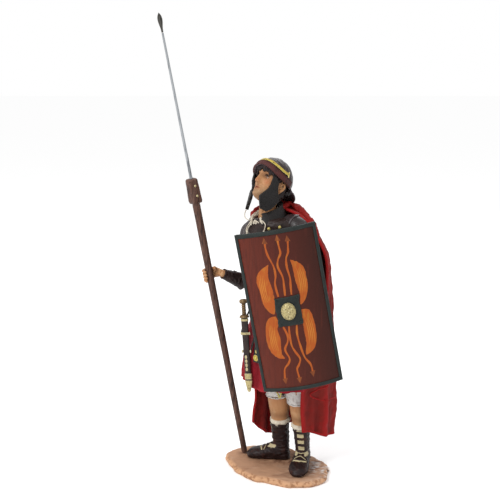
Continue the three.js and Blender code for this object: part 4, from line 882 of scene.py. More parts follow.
def guard_surface(side, t, angle, offset):
    shoulder, elbow = (JOINTS["shoulder_left"], JOINTS["elbow_left"]) if side > 0 else (
        JOINTS["shoulder_right"], JOINTS["elbow_right"])
    path = np.array([shoulder - side * 11 * LEFTWARD + [0, 0, 2], shoulder,
                     shoulder + 0.42 * (elbow - shoulder) + side * LEFTWARD])
    centre = blend(path, t)
    tangent = unit(np.moveaxis(blend(path, np.minimum(t + 0.01, 1)) - blend(path, np.maximum(t - 0.01, 0)),
                               0, -1))
    front = turned(BODY_YAW - 90)
    across = unit(front - tangent * (tangent @ front)[..., None])
    outward = unit(np.cross(across, tangent) * side)
    radius = (8.2 + offset)[..., None]
    return (np.moveaxis(centre, 0, -1) + across * radius * np.cos(angle)[..., None]
            + outward * radius * np.sin(angle)[..., None])


def guard_piece(name, side, metal):
    lames = []
    for k in range(LAMES):
        share, across = grid(26, 70)
        t = (k + share * 1.12) / LAMES * 0.985
        angle = -0.25 + across * (math.pi + 0.5)
        step = 0.9 * share + 0.35 * bump(share, 0.94, 0.07)
        outer = guard_surface(side, np.clip(t, 0, 1), angle, 1.15 + step)
        inner = guard_surface(side, np.clip(t, 0, 1), angle, GAP + 0.6 * share)
        outer = outer + 0.05 * waves(outer, 5, 40 + k)[..., None] * UP
        lames.append(shell(outer, inner))
    piece(name, merged(lames), metal, [name.replace("plates", "guard")], crease=45)


# Neck scarf: a lumpy roll of linen with two hanging laces

SCARF = {"x": -16.6, "y": -2.8, "wide": 12.0, "deep": 13.2, "front": 229.0, "back": 239.0}


def scarf_pieces(linen):
    count = 200
    angle = circle(count)
    z = SCARF["back"] + (SCARF["front"] - SCARF["back"]) * (1 - np.sin(angle)) / 2
    centre = (np.stack([np.full(count, SCARF["x"]), np.full(count, SCARF["y"]), z], axis=-1)
              + SCARF["wide"] * np.cos(angle)[:, None] * LEFTWARD
              + SCARF["deep"] * np.sin(angle)[:, None] * BACKWARD)
    tangent = unit(np.roll(centre, -1, 0) - np.roll(centre, 1, 0))
    across = unit(np.cross(tangent, UP))
    around = circle(40)
    twist = 0.45 * np.sin(3 * around[None] + 9 * angle[:, None]) + 0.25 * np.sin(5 * around[None]
                                                                                 - 17 * angle[:, None])
    radius = 1.7 + twist + 0.25 * np.sin(7 * angle)[:, None]
    rings = (centre[:, None] + across[:, None] * (radius * np.cos(around))[..., None]
             + UP * (radius * np.sin(around))[..., None])
    rings += unit(rings - centre[:, None]) * (0.16 * waves(rings, 2, 51))[..., None]
    roll = closed_sweep(rings)
    tail = []
    for start, drop in ((5.02, 5), (4.5, 5)):
        at = stack_surface(CUIRASS, np.array(0.955), np.array(start), LEATHER + 1.3)
        low = stack_surface(CUIRASS, np.array(0.955 - drop / 86), np.array(start + 0.03), LEATHER + 1.3)
        tail.append(tube(smooth_path([at + [0, 0, 2], at, (at + low) / 2, low], 24),
                         np.linspace(1.1, 0.7, 24),
                         side=LEFTWARD, flat=0.6))
    piece("neck_scarf_linen", merged([roll] + tail), linen, ["neck_scarf"])

    laces = []
    for k, (start, length) in enumerate(((5.08, 0.13), (4.46, 0.1), (4.4, 0.12))):
        shares = np.linspace(0.96, 0.9 - length, 40)
        curve = start + 0.07 * np.sin(np.linspace(0, 4, 40) + k)
        path = stack_surface(CUIRASS, shares, curve, LEATHER + 1.6)
        laces.append(tube(path, 0.45, segments=12))
        laces.append(ball(path[-1], (1.0, 1.0, 1.3), segments=14, rows=10))
    piece("collar_laces", merged(laces), linen, ["collar_lace_1", "collar_lace_2"])


def collar_band(leather):
    angle = np.radians(np.linspace(-62, 118, 90))
    share = np.linspace(-1, 1, 12)
    z = SCARF["back"] + (SCARF["front"] - SCARF["back"]) * (1 - np.sin(angle)) / 2 + 2.6
    middle = (np.stack([np.full(90, SCARF["x"]), np.full(90, SCARF["y"]), z], axis=-1)
              + (SCARF["wide"] + 3.4) * np.cos(angle)[:, None] * LEFTWARD
              + (SCARF["deep"] + 2.6) * np.sin(angle)[:, None] * BACKWARD)
    inward = unit(np.array([SCARF["x"], SCARF["y"], 0]) - middle * [1, 1, 0])
    sheet = middle[None] + UP * (4.6 * share)[:, None, None] + inward[None] * (1.6 * share)[:, None, None]
    band = wall(sheet, 1.5)
    edge = tube(sheet[-1], 0.95, side=UP, segments=12)
    piece("armour_collar", merged([band, edge]), leather, crease=60)


# Sword at the right hip, and the apron of straps with brass drops

SWORD_GUARD = np.array([-36.0, -11.0, 142.0])
SWORD_TIP = np.array([-31.5, -22.0, 75.0])
BLADE = unit(SWORD_TIP - SWORD_GUARD)
BLADE_WIDTH = unit(np.cross(BLADE, [-0.53, -0.85, 0]))
BLADE_FACE = np.cross(BLADE_WIDTH, BLADE)
SCABBARD_LENGTH = 56.0


def along_sword(distance):
    return SWORD_GUARD + BLADE * distance


def sheath(start, end, wide_start, wide_end, thick, bulge=0.0, round_end=0.0):
    rows = 30
    stations = [(*along_sword(start + (end - start) * k / rows),
                 (wide_start + (wide_end - wide_start) * k / rows) / 2
                 + bulge * math.sin(math.pi * k / rows), thick / 2)
                for k in range(rows + 1)]
    return limb(stations, BLADE_WIDTH, 36, 60, (0.0, round_end))


def sword_pieces(leather, brass, gold, strap):
    piece("scabbard_leather", sheath(0, SCABBARD_LENGTH, 7.4, 6.1, 3.0), leather,
          ["scabbard"])
    fittings = [sheath(56.3, 62.9, 7.4, 4.4, 3.0, 0.2, 4.2)]
    for start, length in ((0.6, 2.2), (13, 2.0), (50, 5.0)):
        fittings.append(sheath(start, start + length, 8.0 - start * 0.018, 7.9 - start * 0.018, 3.7))
    for distance in (14, 30):
        for sign in (-1, 1):
            fittings.append(ball(along_sword(distance) + BLADE_WIDTH * sign * 4.3, (0.9, 0.9, 1.5),
                                 segments=14, rows=9))
    for distance in np.linspace(35, 46, 4):
        fittings.append(ball(along_sword(distance) - BLADE_FACE * -1.6, (1.3, 0.6, 1.7),
                             np.stack([BLADE_WIDTH, BLADE_FACE, BLADE], axis=1), 16, 10))
    piece("scabbard_fittings", merged(fittings), brass, ["scabbard_chape"])

    radius, length = 1.9, 17.0
    profile = [(0.05, 0), (radius * 2.1, 0), (radius * 2.3, 0.9), (radius * 1.9, 2.2), (radius * 0.95, 3.2)]
    for ring in np.linspace(4.2, 11.2, 5):
        profile += [(radius * 1.12, ring), (radius * 0.86, ring + 0.85)]
    profile += [(radius * 1.0, 12.4), (radius * 1.75, 13.4), (radius * 1.95, 15), (radius * 1.5, 16.5),
                (0.05, length)]
    place = matrix(BLADE_WIDTH, BLADE_FACE, -BLADE, along_sword(-GAP))
    grip = lathe(profile, 36, 4)
    knobs = [ball(placed([1.9 * radius * math.cos(a) * 0.9, 1.9 * radius * math.sin(a) * 0.9, 15], place),
                  (0.9, 0.9, 0.9),
                  segments=12, rows=8) for a in np.arange(6) * math.pi / 3]
    piece("sword_grip", merged([moved(grip, place)] + knobs), gold, ["sword_hilt"])

    loops = []
    for start, end, sag in (((-31, -6, 149), along_sword(14) + BLADE_WIDTH * 4.5, 1.5),
                            ((-24, -17, 143), along_sword(30) + BLADE_WIDTH * -4.4, -1.0)):
        start, end = np.array(start, float), np.array(end, float)
        middle = (start + end) / 2 + BLADE_FACE * sag
        loops.append(tube(smooth_path([start, middle, end], 40), 0.95, side=BLADE_WIDTH, segments=12,
                          flat=0.6))
    piece("scabbard_slings", merged(loops), strap)


APRON_ANGLES = (270.0, 281.0, 292.0)
APRON_TOP = 0.14
APRON_LENGTH = 34.0
APRON_END = APRON_TOP + APRON_LENGTH / 64  # the skirt is 64 long
APRON_FACE = GAP + CLOTH + 2.4  # clear of the pleats
APRON_THICK = 1.0


def apron_pieces(leather, brass):
    straps, studs = [], []
    for k, degrees in enumerate(APRON_ANGLES):
        middle = math.radians(degrees)
        half = 5.0 / 60
        share, across = grid(60, 16)
        t = APRON_TOP + share * (APRON_END - APRON_TOP)
        angle = middle + (across * 2 - 1) * half
        ripple = 0.25 * np.sin(share * 9 + k) + 0.25 * (bump(across, 0.06, 0.06) + bump(across, 0.94, 0.06))
        outer = stack_surface(SKIRT, t, angle, APRON_FACE + APRON_THICK + ripple)
        inner = stack_surface(SKIRT, t, angle, APRON_FACE + ripple * 0.5)
        straps.append(shell(outer, inner))
        normal = math.cos(middle) * LEFTWARD + math.sin(middle) * BACKWARD
        facing = np.stack([np.cross(UP, normal), UP, normal], axis=1)
        for spot in (0.18, 0.38, 0.58, 0.78):
            at = stack_surface(SKIRT, np.array(APRON_TOP + spot * (APRON_END - APRON_TOP)),
                               np.array(middle),
                               np.array(APRON_FACE + 1.1))
            large = spot in (0.38, 0.78)
            flower = [ball(at, (1.9, 1.9, 0.55) if large else (1.2, 1.2, 0.7), facing, 24, 10)]
            if large:
                flower.append(ball(at + normal * 0.35, (0.8, 0.8, 0.6), facing, 16, 8))
            studs += flower
        at = stack_surface(SKIRT, np.array(APRON_END - 0.05), np.array(middle), np.array(APRON_FACE + 1.3))
        disc = lathe([(0.05, 0), (2.7, 0), (2.9, 0.35), (2.5, 0.8), (1.9, 0.55), (1.3, 0.7), (0.8, 1.3),
                      (0.05, 1.45)], 32, 4)
        studs.append(moved(disc, (facing, at)))
    piece("apron_leather", merged(straps), leather,
          [f"apron_strap_{k}" for k in (1, 2, 3)], crease=50)
    piece("apron_brass", merged(studs), brass, [f"apron_pendant_{k}" for k in (1, 2, 3)])


# Shield frame: x across, y back towards the soldier, z up, origin at the middle of the outer face

SHIELD_FACE = np.array([1.7, -58.0, 159.8])
SHIELD_YAW = -4.3
SHIELD_LEAN = 10.6
SHIELD_HEIGHT = 138.4
SHIELD_RADIUS = 59.0
SHIELD_CHORD = 67.7  # straight width, edge to edge
SHIELD_HALF_ARC = math.asin(SHIELD_CHORD / 2 / SHIELD_RADIUS)
SHIELD_HALF_WIDTH = SHIELD_HALF_ARC * SHIELD_RADIUS
SHIELD_BOARD = 2.4
PLATE_WIDTH, PLATE_HEIGHT, PLATE_THICK = 21.0, 25.0, 1.0
BOSS_HALF_WIDTH, BOSS_HALF_HEIGHT, BOSS_RISE = 6.3, 7.6, 4.0
GRIP_DEPTH = SHIELD_BOARD + 9.0
GRIP_HALF_LENGTH = 13.0
GRIP_POST = 11.4


def shield_frame():
    yaw = np.stack([turned(SHIELD_YAW), -turned(SHIELD_YAW - 90), UP], axis=1)
    lean = math.radians(-SHIELD_LEAN)
    tip = np.array([[math.cos(lean), 0, math.sin(lean)], [0, 1, 0], [-math.sin(lean), 0, math.cos(lean)]])
    return yaw @ tip, SHIELD_FACE


SHIELD = shield_frame()


def on_shield(across, height, out):
    """A place on the board: distance across its face, height and distance outside it."""
    angle = np.asarray(across, float) / SHIELD_RADIUS
    radius = SHIELD_RADIUS + np.asarray(out, float)
    return placed(np.stack([radius * np.sin(angle), SHIELD_RADIUS - radius * np.cos(angle),
                            np.broadcast_to(height, angle.shape).astype(float)], axis=-1), SHIELD)


# The painted device: four curved wings and six wavy bolts round the boss, in millimetres across and up

WINGS = (
    ((-10, 42), (-17, 38.5), (-21.5, 34), (-23.3, 27.5), (-22, 20), (-21.5, 12), (-19, 4), (-12.5, -1),
     (-10, 13), (-11, 25),
     (-12, 31.5)),
    ((9, 43.5), (15, 40), (19, 35), (20.3, 26.5), (19.5, 16), (15.5, 7), (11, 4), (12, 12), (11, 19.5),
     (10, 27.5), (10, 35.5)),
    ((-12, -3), (-10, -9), (-12.5, -14.5), (-11.3, -22), (-12, -29), (-12.5, -36.5), (-10.5, -40.5),
     (-16, -40), (-21, -35.5),
     (-23.8, -28.5), (-24, -20), (-21.7, -9), (-17.5, -4)),
    ((9.5, -0.5), (17.5, -2.5), (20, -14), (19.5, -27), (16, -36), (8, -40), (10, -30), (10, -20),
     (10, -10)),
)
BOLTS = (
    ((-6.5, 13.5), (-7.2, 24.5), (-5.5, 32), (-5.8, 40), (-9, 50), (-9.7, 56), (-9.6, 60)),
    ((-0.6, 13.5), (0, 22), (0.2, 30), (-2.2, 39), (-1, 45), (1.9, 50), (1.7, 56), (1.6, 61)),
    ((4.9, 13.5), (5.6, 22), (6.2, 28), (5.2, 38), (6, 45), (8.3, 49.5), (9.1, 54), (9.8, 59)),
    ((-7, -13), (-4.8, -20.5), (-5.6, -26.5), (-9, -33), (-6.6, -41), (-8.3, -45.5), (-12.4, -50),
     (-13.8, -58.5)),
    ((-2, -13), (-2.9, -21), (-2.7, -30), (-0.9, -35.5), (2.3, -42.5), (0.6, -47.5), (-1.8, -51.5),
     (-1.3, -59)),
    ((4.7, -12.5), (3.6, -21.5), (4.4, -31), (6.4, -42), (10.2, -49), (10.9, -55.5)),
)
BOLT_WIDTH = 0.8


def bolt_outline(points):
    path = smooth_path(points, 60)
    width = BOLT_WIDTH * (1 + 0.18 * np.sin(np.linspace(0, 21, 60) + points[0][0]))
    across = np.gradient(path, axis=0)
    across = np.stack([-across[:, 1], across[:, 0]], axis=-1)
    across = across / np.linalg.norm(across, axis=-1)[:, None] * width[:, None]
    return np.concatenate([path - across, (path + across)[::-1]])


def bolt_head(x, z):
    way = math.copysign(1, z)
    return [(x - 2.4, z + 0.3 * way), (x, z + 5.2 * way), (x + 2.4, z - 0.3 * way)]


def wing_outline(points):
    closed = np.array(list(points) + [points[0]], float)
    outline = blend(closed, np.linspace(0, 1, 81)[:-1]).T
    return outline + 0.1 * waves(np.pad(outline, ((0, 0), (0, 1))), 2.5, 61)[:, None]


def feathers(points):
    """Paler brush strokes inside a wing, along its length."""
    outline = np.array(points, float)
    middle = outline.mean(axis=0)
    tall = np.ptp(outline[:, 1])
    strokes = []
    for share in (-0.45, -0.1, 0.25, 0.6):
        z = middle[1] + tall * np.linspace(-0.3, 0.28, 20)
        bow = 1 - ((z - middle[1]) / tall * 2) ** 2
        x = middle[0] + math.copysign(1, middle[0]) * (3.2 * bow - 1.2 + 4.4 * share)
        width = 0.35 * np.sin(np.linspace(0.08, math.pi - 0.08, 20))
        strokes.append(np.concatenate([np.stack([x - width, z], -1), np.stack([x + width, z], -1)[::-1]]))
    return strokes


def shield_face(field, orange, yellow, dim):
    """The front of the board, cut along the painted outlines so that colour needs no relief."""
    half, tall = SHIELD_HALF_WIDTH - 0.4, SHIELD_HEIGHT / 2 - 0.4
    rows, columns = 95, 52
    xs, zs = np.linspace(-half, half, columns), np.linspace(-tall, tall, rows)
    points = [Vector((x, z)) for z in zs for x in xs]
    faces = [[0, columns - 1, rows * columns - 1, (rows - 1) * columns]]
    kinds = [0]

    def shape(outline, kind):
        start = len(points)
        x, z = np.array(outline, float).T
        if np.sum(x * np.roll(z, -1) - z * np.roll(x, -1)) < 0:
            x, z = x[::-1], z[::-1]
        points.extend(Vector(p) for p in zip(x, z))
        faces.append(list(range(start, start + len(outline))))
        kinds.append(kind)

    for outline in WINGS:
        shape(wing_outline(outline), 1)
        for stroke in feathers(outline):
            shape(stroke, 2)
    for path in BOLTS:
        shape(bolt_outline(path), 1)
        shape(bolt_head(*path[-1]), 3)
    flat, _, cells, _, _, sources = delaunay_2d_cdt(points, [], faces, 1, 1e-5)
    flat = np.array([tuple(p) for p in flat])
    strokes = 0.03 * waves(np.stack([flat[:, 0] * 3, flat[:, 1] * 0.4, flat[:, 0] * 0], axis=-1), 2.5, 71)
    placed_points = on_shield(flat[:, 0], flat[:, 1], 0.12 + strokes)
    mesh = bpy.data.meshes.new("shield_front")
    mesh.from_pydata(((placed_points + STANCE) * MM).tolist(), [], [list(cell) for cell in cells])
    mesh.update()
    front = placed([0, -1, 0], (SHIELD[0], np.zeros(3)))
    if mesh.polygons[0].normal @ Vector(front) < 0:
        mesh.flip_normals()
    shade = np.clip(0.5 + flat[:, 0] / (2 * half), 0, 1)
    piece("shield_front", mesh, [field, orange, yellow, dim], values={"across": shade})
    mesh.polygons.foreach_set("material_index",
                              [max((kinds[k] for k in ids), default=0) for ids in sources])


def shield_board_piece(field, linen):
    share, across = grid(60, 50)
    z = SHIELD_HEIGHT / 2 * (1 - 2 * share)
    x = SHIELD_HALF_WIDTH * (2 * across - 1)
    grain = 0.08 * waves(np.stack([x, z, x * 0], -1), 6, 72)
    outer, inner = on_shield(x, z, 0 * x), on_shield(x, z, -SHIELD_BOARD + grain)
    # An across value of 0.5 gives the whole back half of the painted side shade
    piece("shield_back", shell(outer, inner), field, ["shield_board"], crease=40,
          values={"across": np.full(share.size * 2, 0.5)})
    ribs = []
    for z in (-46.0, 46.0):
        x = np.linspace(-31, 31, 40)
        ribs.append(tube(on_shield(x, z, -SHIELD_BOARD - 0.1), 1.5, side=UP, segments=12, flat=0.7))
    piece("shield_battens", merged(ribs), linen)


def shield_rim_piece(metal):
    """A folded rim swept round the board, with soft dents and edges."""
    wall_out, width, back = 1.0, 2.4, -SHIELD_BOARD
    section = smooth_section([
        (-width, wall_out * 0.75), (-width * 0.5, wall_out), (0, wall_out), (0.8, wall_out * 0.6),
        (wall_out, 0), (wall_out, back),
        (0.8, back - 0.6), (0, back - wall_out), (-width * 0.5, back - wall_out), (-width, back - 0.75),
        (-width, back - GAP), (GAP, back - GAP), (GAP, GAP), (-width, GAP)])
    shares = np.linspace(-1, 1, 70)
    heights = np.linspace(1, -1, 100)
    loop = ([(s, 1.0) for s in shares] + [(1.0, h) for h in heights[1:-1]]
            + [(s, -1.0) for s in shares[::-1]] + [(-1.0, h) for h in heights[::-1][1:-1]])
    loop = np.array(loop)
    growth, out = section[:, 0], section[:, 1]
    x = loop[:, 0, None] * (SHIELD_HALF_WIDTH + growth)
    z = loop[:, 1, None] * (SHIELD_HEIGHT / 2 + growth)
    rings = on_shield(x, z, np.broadcast_to(out, x.shape))
    rings += 0.1 * waves(rings, 6, 73)[..., None] * placed([0, -1, 0], (SHIELD[0], np.zeros(3)))
    piece("shield_edge", closed_sweep(rings), metal, ["shield_rim"], crease=50)


def smooth_section(points):
    """A closed outline with a point added in the middle of each side."""
    outline = np.array(points, float)
    middle = (outline + np.roll(outline, -1, 0)) / 2
    return np.stack([outline, middle], axis=1).reshape(-1, 2)


def shield_boss_pieces(metal, gold, wood):
    share, across = grid(40, 34)
    x = PLATE_WIDTH / 2 * (2 * across - 1)
    z = PLATE_HEIGHT / 2 * (1 - 2 * share)
    edge = np.maximum(np.abs(2 * across - 1), np.abs(1 - 2 * share))
    wobble = 0.25 * waves(np.stack([x, z, x * 0], -1), 7, 81) * edge
    grain = 0.08 * waves(np.stack([x, z, x * 0], -1), 2.5, 82)
    high = GAP + PLATE_THICK - 0.35 * bump(edge, 1, 0.05) + grain
    outer = on_shield(x + wobble, z + wobble, high)
    inner = on_shield(x + wobble, z + wobble, GAP + 0 * x)
    corners = [on_shield(np.array(sx * 8.6), np.array(sz * 10.6), np.array(GAP + 1.1))
               for sx in (-1, 1) for sz in (-1, 1)]
    rivets = [ball(corner, (0.75, 0.75, 0.75), segments=12, rows=8) for corner in corners]
    piece("boss_plate", merged([shell(outer, inner)] + rivets), metal,
          ["shield_boss_plate"], crease=45)

    seat = GAP * 2 + PLATE_THICK
    shares, angle = turn_grid(40, 80)
    polar = shares * math.pi / 2
    rise = BOSS_RISE * np.cos(polar) ** 0.9 * (shares < 1)
    flange = 0.35 * bump(shares, 0.97, 0.05)
    x = BOSS_HALF_WIDTH * np.sin(polar) * np.cos(angle)
    z = BOSS_HALF_HEIGHT * np.sin(polar) * np.sin(angle)
    dents = -0.16 * np.abs(waves(np.stack([x, z, x * 0], -1), 2.1, 83)) * np.cos(polar)
    dome = placed(np.stack([x, -(seat + rise + flange + dents), z], axis=-1), SHIELD)
    piece("boss_dome", loft(dome), gold, ["shield_boss"])

    bow = ((-GRIP_HALF_LENGTH, 0), (-6, 0.3), (0, 0.4), (6, 0.3), (GRIP_HALF_LENGTH, 0))
    bar = placed(smooth_path([(x, GRIP_DEPTH + rise, 0) for x, rise in bow], 30), SHIELD)
    parts = [tube(bar, 1.55 + 0.15 * np.sin(np.linspace(0, math.pi, 30)), side=UP, segments=20)]
    for side in (-1, 1):
        back = SHIELD_RADIUS - math.sqrt((SHIELD_RADIUS - SHIELD_BOARD) ** 2 - GRIP_HALF_LENGTH ** 2)
        post = placed([(side * GRIP_POST, back + GAP, 0), (side * GRIP_POST, GRIP_DEPTH, 0)], SHIELD)
        parts.append(tube(smooth_path(post, 8), 1.5, side=UP, segments=16, round_ends=False))
    piece("grip_bar", merged(parts), wood, ["shield_grip"])


# Pilum: ash shaft, block with two rivets, bright iron shank and a small leaf point

PILUM_BUTT = np.array([-36.0, 26.0, 0.0])
PILUM_WAY = unit([-0.1745, -0.1324, 1])
SHAFT_LENGTH, BLOCK_LENGTH, SHANK_LENGTH, POINT_LENGTH = 250.5, 22.0, 127.0, 16.5
PILUM_ROTATION = np.array(Vector((0, 0, 1)).rotation_difference(Vector(PILUM_WAY)).to_matrix())
PILUM = (PILUM_ROTATION, PILUM_BUTT)
BUTT_LIFT = 2.7 * math.sin(math.acos(PILUM_WAY[2]))
SHAFT_TOP = BUTT_LIFT + SHAFT_LENGTH
BLOCK_TOP = SHAFT_TOP + GAP + BLOCK_LENGTH
SHANK_TOP = BLOCK_TOP + GAP + SHANK_LENGTH
PILUM_GRIP = 183.0
BUTT_RADIUS, SHAFT_SWELL = 2.7, 0.8
BLOCK_LOW, BLOCK_HIGH = 9.6, 8.4  # widths at its lower and upper end
BLOCK_TURN = math.pi / 5.45


def pilum_pieces(wood, steel, iron, brass):
    steps = 120
    z = np.linspace(BUTT_LIFT, SHAFT_TOP, steps)
    share = (z - BUTT_LIFT) / SHAFT_LENGTH
    angle = circle(36)
    radius = (BUTT_RADIUS + SHAFT_SWELL * share)[:, None] * (1 + 0.015 * np.sin(share * 31)[:, None]
                                                             * np.cos(2 * angle))
    radius = radius - 0.5 * bump(z, BUTT_LIFT, 0.7)[:, None] - 0.3 * bump(z, SHAFT_TOP, 0.7)[:, None]
    rings = np.stack([radius * np.cos(angle), radius * np.sin(angle),
                      np.broadcast_to(z[:, None], radius.shape)], axis=-1)
    flutes = 0.07 * np.sin(9 * angle + 3 * np.sin(share[:, None] * 7))
    rings[..., :2] *= (1 + flutes / 3)[..., None]
    piece("pilum_ash_shaft", moved(loft(rings), PILUM), wood, ["pilum_shaft"], crease=50)

    low, high = SHAFT_TOP + GAP, BLOCK_TOP
    z = np.linspace(low, high, 60)
    width = np.interp(z, [low, low + 2, high - 1.2, high],
                      [BLOCK_LOW * 0.88, BLOCK_LOW, BLOCK_HIGH, BLOCK_HIGH * 0.84])
    around = circle(96)
    square = 1 / (np.abs(np.cos(around)) ** 9 + np.abs(np.sin(around)) ** 9) ** (1 / 9)
    spots = np.stack(np.broadcast_arrays(np.cos(around) * 4, np.sin(around) * 4, z[:, None] * 0.3), axis=-1)
    radius = width[:, None] / 2 * square * (1 + 0.01 * waves(spots, 2.2, 91))
    turn = around + BLOCK_TURN
    rings = np.stack([radius * np.cos(turn), radius * np.sin(turn),
                      np.broadcast_to(z[:, None], radius.shape)], axis=-1)
    piece("pilum_wood_block", moved(loft(rings), PILUM), wood, ["pilum_block"], crease=40)

    for name, below in (("upper", 6.0), ("lower", 15.0)):
        face = (BLOCK_HIGH + (BLOCK_LOW - BLOCK_HIGH) * below / BLOCK_LENGTH) / 2 + 2 * GAP
        out = np.array([math.sin(BLOCK_TURN), -math.cos(BLOCK_TURN), 0.0])
        facing = np.stack([np.cross(UP, out), UP, out], axis=1)
        dome = lathe([(0.03, 0), (1.1, 0), (1.05, 0.3), (0.75, 0.62), (0.03, 0.8)], 24, 4)
        at = out * face + [0, 0, BLOCK_TOP - below]
        piece(f"pilum_rivet_{name}_head", moved(moved(dome, (facing, at)), PILUM), brass,
              [f"pilum_rivet_{name}"])

    z = np.linspace(BLOCK_TOP + GAP, SHANK_TOP, 60)
    rod = np.stack([0 * z, 0 * z, z], axis=-1)
    radius = np.interp(z, [z[0], z[0] + 3, z[-1] - 4, z[-1]], [1.5, 1.32, 0.95, 0.88])
    shank = tube(rod, radius, side=(1, 0, 0), segments=24, round_ends=False)
    piece("pilum_steel_shank", moved(shank, PILUM), steel, ["pilum_shank"], crease=50)

    share = np.linspace(0, 1, 50)
    size = np.interp(share, [0, 0.2, 0.34, 0.46, 0.58, 0.68, 0.8, 0.9, 1],
                     [0.38, 0.46, 0.64, 0.84, 0.97, 1, 0.86, 0.55, 0.04])
    around = circle(32)
    ridge = 1 / (np.abs(np.cos(around)) + np.abs(np.sin(around)))
    x = 2.1 * size[:, None] * ridge * np.cos(around)
    y = (0.9 * size + 0.12)[:, None] * ridge * np.sin(around)
    z = np.broadcast_to((SHANK_TOP + GAP + share * POINT_LENGTH)[:, None], x.shape)
    piece("pilum_leaf_point", moved(loft(np.stack([x, y, z], axis=-1)), PILUM), iron,
          ["pilum_point"], crease=35)


# Head frame: x to the soldier's right, y forward out of the face, z up the head

def head_frame():
    pitch = math.radians(HEAD_PITCH)
    forward = turned(HEAD_YAW) * math.cos(pitch) + UP * math.sin(pitch)
    right = unit(np.cross(forward, UP))
    return matrix(right, forward, np.cross(right, forward), JOINTS["head"])


HEAD_PLACE = head_frame()

# Front and back reach and half width of the head, from chin to crown
HEAD = [
    (-18.6, 11.5, -4, 4.5), (-16, 13.6, 2, 7.4), (-12, 13.8, 7, 9.8), (-7, 13.6, 12, 11.4),
    (-1, 13.8, 15.5, 12.3),
    (5, 14.4, 16.2, 12.4), (11, 12.6, 15, 11.2), (16, 8.8, 10.6, 8), (18.6, 3.6, 5, 3.4),
]
EYE = (4.7, 1.3)
EYE_RADIUS = 2.9
EYE_HALF_WIDTH = 2.35


def face_rise(x, z):
    """Nose, brows, sockets, cheekbones, lips and chin as smooth rises of the face."""
    wide = np.abs(x)
    length = np.clip((5.2 - z) / 10.5, 0, 1)
    tip = np.where(z > -5.3, 1.0, bump(z, -5.3, 1.05))
    between_eyes = 1 / (1 + np.exp((z - 5.6) * 1.6))
    nose = (1.2 + 3.9 * length ** 1.2) * bump(x, 0, 1.3 + 0.9 * length) * tip * between_eyes
    wings = 1.5 * bump(wide, 2.3, 1.05) * bump(z, -5.2, 1.25)
    brow = 1.25 * bump(z, 5.1, 1.7) * bump(wide, 4.6, 4.2)
    socket = -2.3 * bump(z, EYE[1], 2.5) * bump(wide, EYE[0], 2.9)
    cheek = 0.9 * bump(wide, 7.4, 3) * bump(z, -3.2, 3)
    hollow = -0.7 * bump(wide, 7, 2.5) * bump(z, -10, 3)
    upper = 0.95 * bump(z, -9.5, 0.75) * bump(x, 0, 3.2)
    lower = 1.15 * bump(z, -11.5, 0.95) * bump(x, 0, 2.8)
    mouth = -0.75 * bump(z, -10.4, 0.4) * bump(x, 0, 3.6)
    crease = -0.55 * bump(z, -13.6, 0.8) * bump(x, 0, 3.2)
    fold = -0.35 * bump(wide, 3.6 + np.clip(-6 - z, 0, 5) * 0.35, 0.7) * bump(z, -8, 2.6)
    philtrum = -0.25 * bump(x, 0, 0.6) * bump(z, -7.8, 0.9)
    chin = 1.7 * bump(x, 0, 3.6) * bump(z, -16.2, 2.2)
    return (nose + wings + brow + socket + cheek + hollow + upper + lower + mouth + crease + fold
            + philtrum + chin)


def face_point(x, z, out=0.0):
    """A place on the front of the head at a sideways place and height, in the head's frame."""
    values = blend(HEAD, np.interp(z, [row[0] for row in HEAD], np.linspace(0, 1, len(HEAD))))
    cosine = np.clip(np.asarray(x, float) / values[3], -1, 1)
    sine = np.sqrt(1 - cosine ** 2)
    return np.stack(np.broadcast_arrays(x, (values[1] + face_rise(x, z) + out) * sine, z), axis=-1)


def head_loft():
    t, angle = turn_grid(170, 220)
    z, front, back, wide = blend(HEAD, t)
    x = wide * np.cos(angle)
    facing = np.sin(angle)
    y = np.where(facing > 0, (front + face_rise(x, z)) * facing, back * facing)
    return loft(np.stack([x, y, z], axis=-1), (0, 5, -19), (0, 0, 19.2))


def eye_ring(side, lift, out):
    """A lid's edge: an arc over or under an eye."""
    share = np.linspace(-1, 1, 20)
    x = side * (EYE[0] + EYE_HALF_WIDTH * share)
    z = EYE[1] + lift * (1 - share ** 2) + 0.1 * share
    centre = eye_centre(side)
    depth = np.sqrt(np.maximum((EYE_RADIUS + out) ** 2 - (x - centre[0]) ** 2 - (z - centre[2]) ** 2, 0.1))
    return np.stack([x, centre[1] + depth, z], axis=-1)


def eye_centre(side):
    return np.array([side * EYE[0], face_point(EYE[0], EYE[1])[1] - EYE_RADIUS + 0.95, EYE[1]])


def ear(side):
    centre = np.array([side * 12.3, -3.0, -2.6])
    outer = [centre + [side * d * 0.8, y * 0.75, z * 0.8] for d, y, z in (
        (0.0, 2.1, 1.4), (0.7, 1.5, 3.6), (1.1, -0.4, 4.7), (1.5, -2.3, 3.8), (1.5, -2.9, 1.4),
        (1.1, -2.3, -1.2),
        (0.7, -1.0, -3.2), (0.3, 0.4, -4.4), (0.0, 1.2, -3.4))]
    thick = np.interp(np.linspace(0, 1, 60), [0, 0.1, 0.7, 0.9, 1], [0.4, 0.62, 0.6, 1.1, 0.6])
    helix = tube(smooth_path(outer, 60), thick, side=(1, 0, 0), segments=14)
    inner = [centre + [side * d, y, z] for d, y, z in (
        (0.9, -0.2, 3.0), (1.0, -1.3, 1.8), (0.9, -1.3, -0.2), (0.6, -0.2, -1.8), (0.5, 1.0, -1.2))]
    fold = tube(smooth_path(inner, 40), 0.5, side=(1, 0, 0), segments=12)
    cup = ball(centre + [side * -0.4, -0.4, 0.2], (0.9, 1.7, 3.1))
    return [helix, fold, cup, ball(centre + [side * 0.5, 1.5, -0.6], (0.6, 0.6, 0.9))]


def in_head(part):
    return moved(part, HEAD_PLACE)


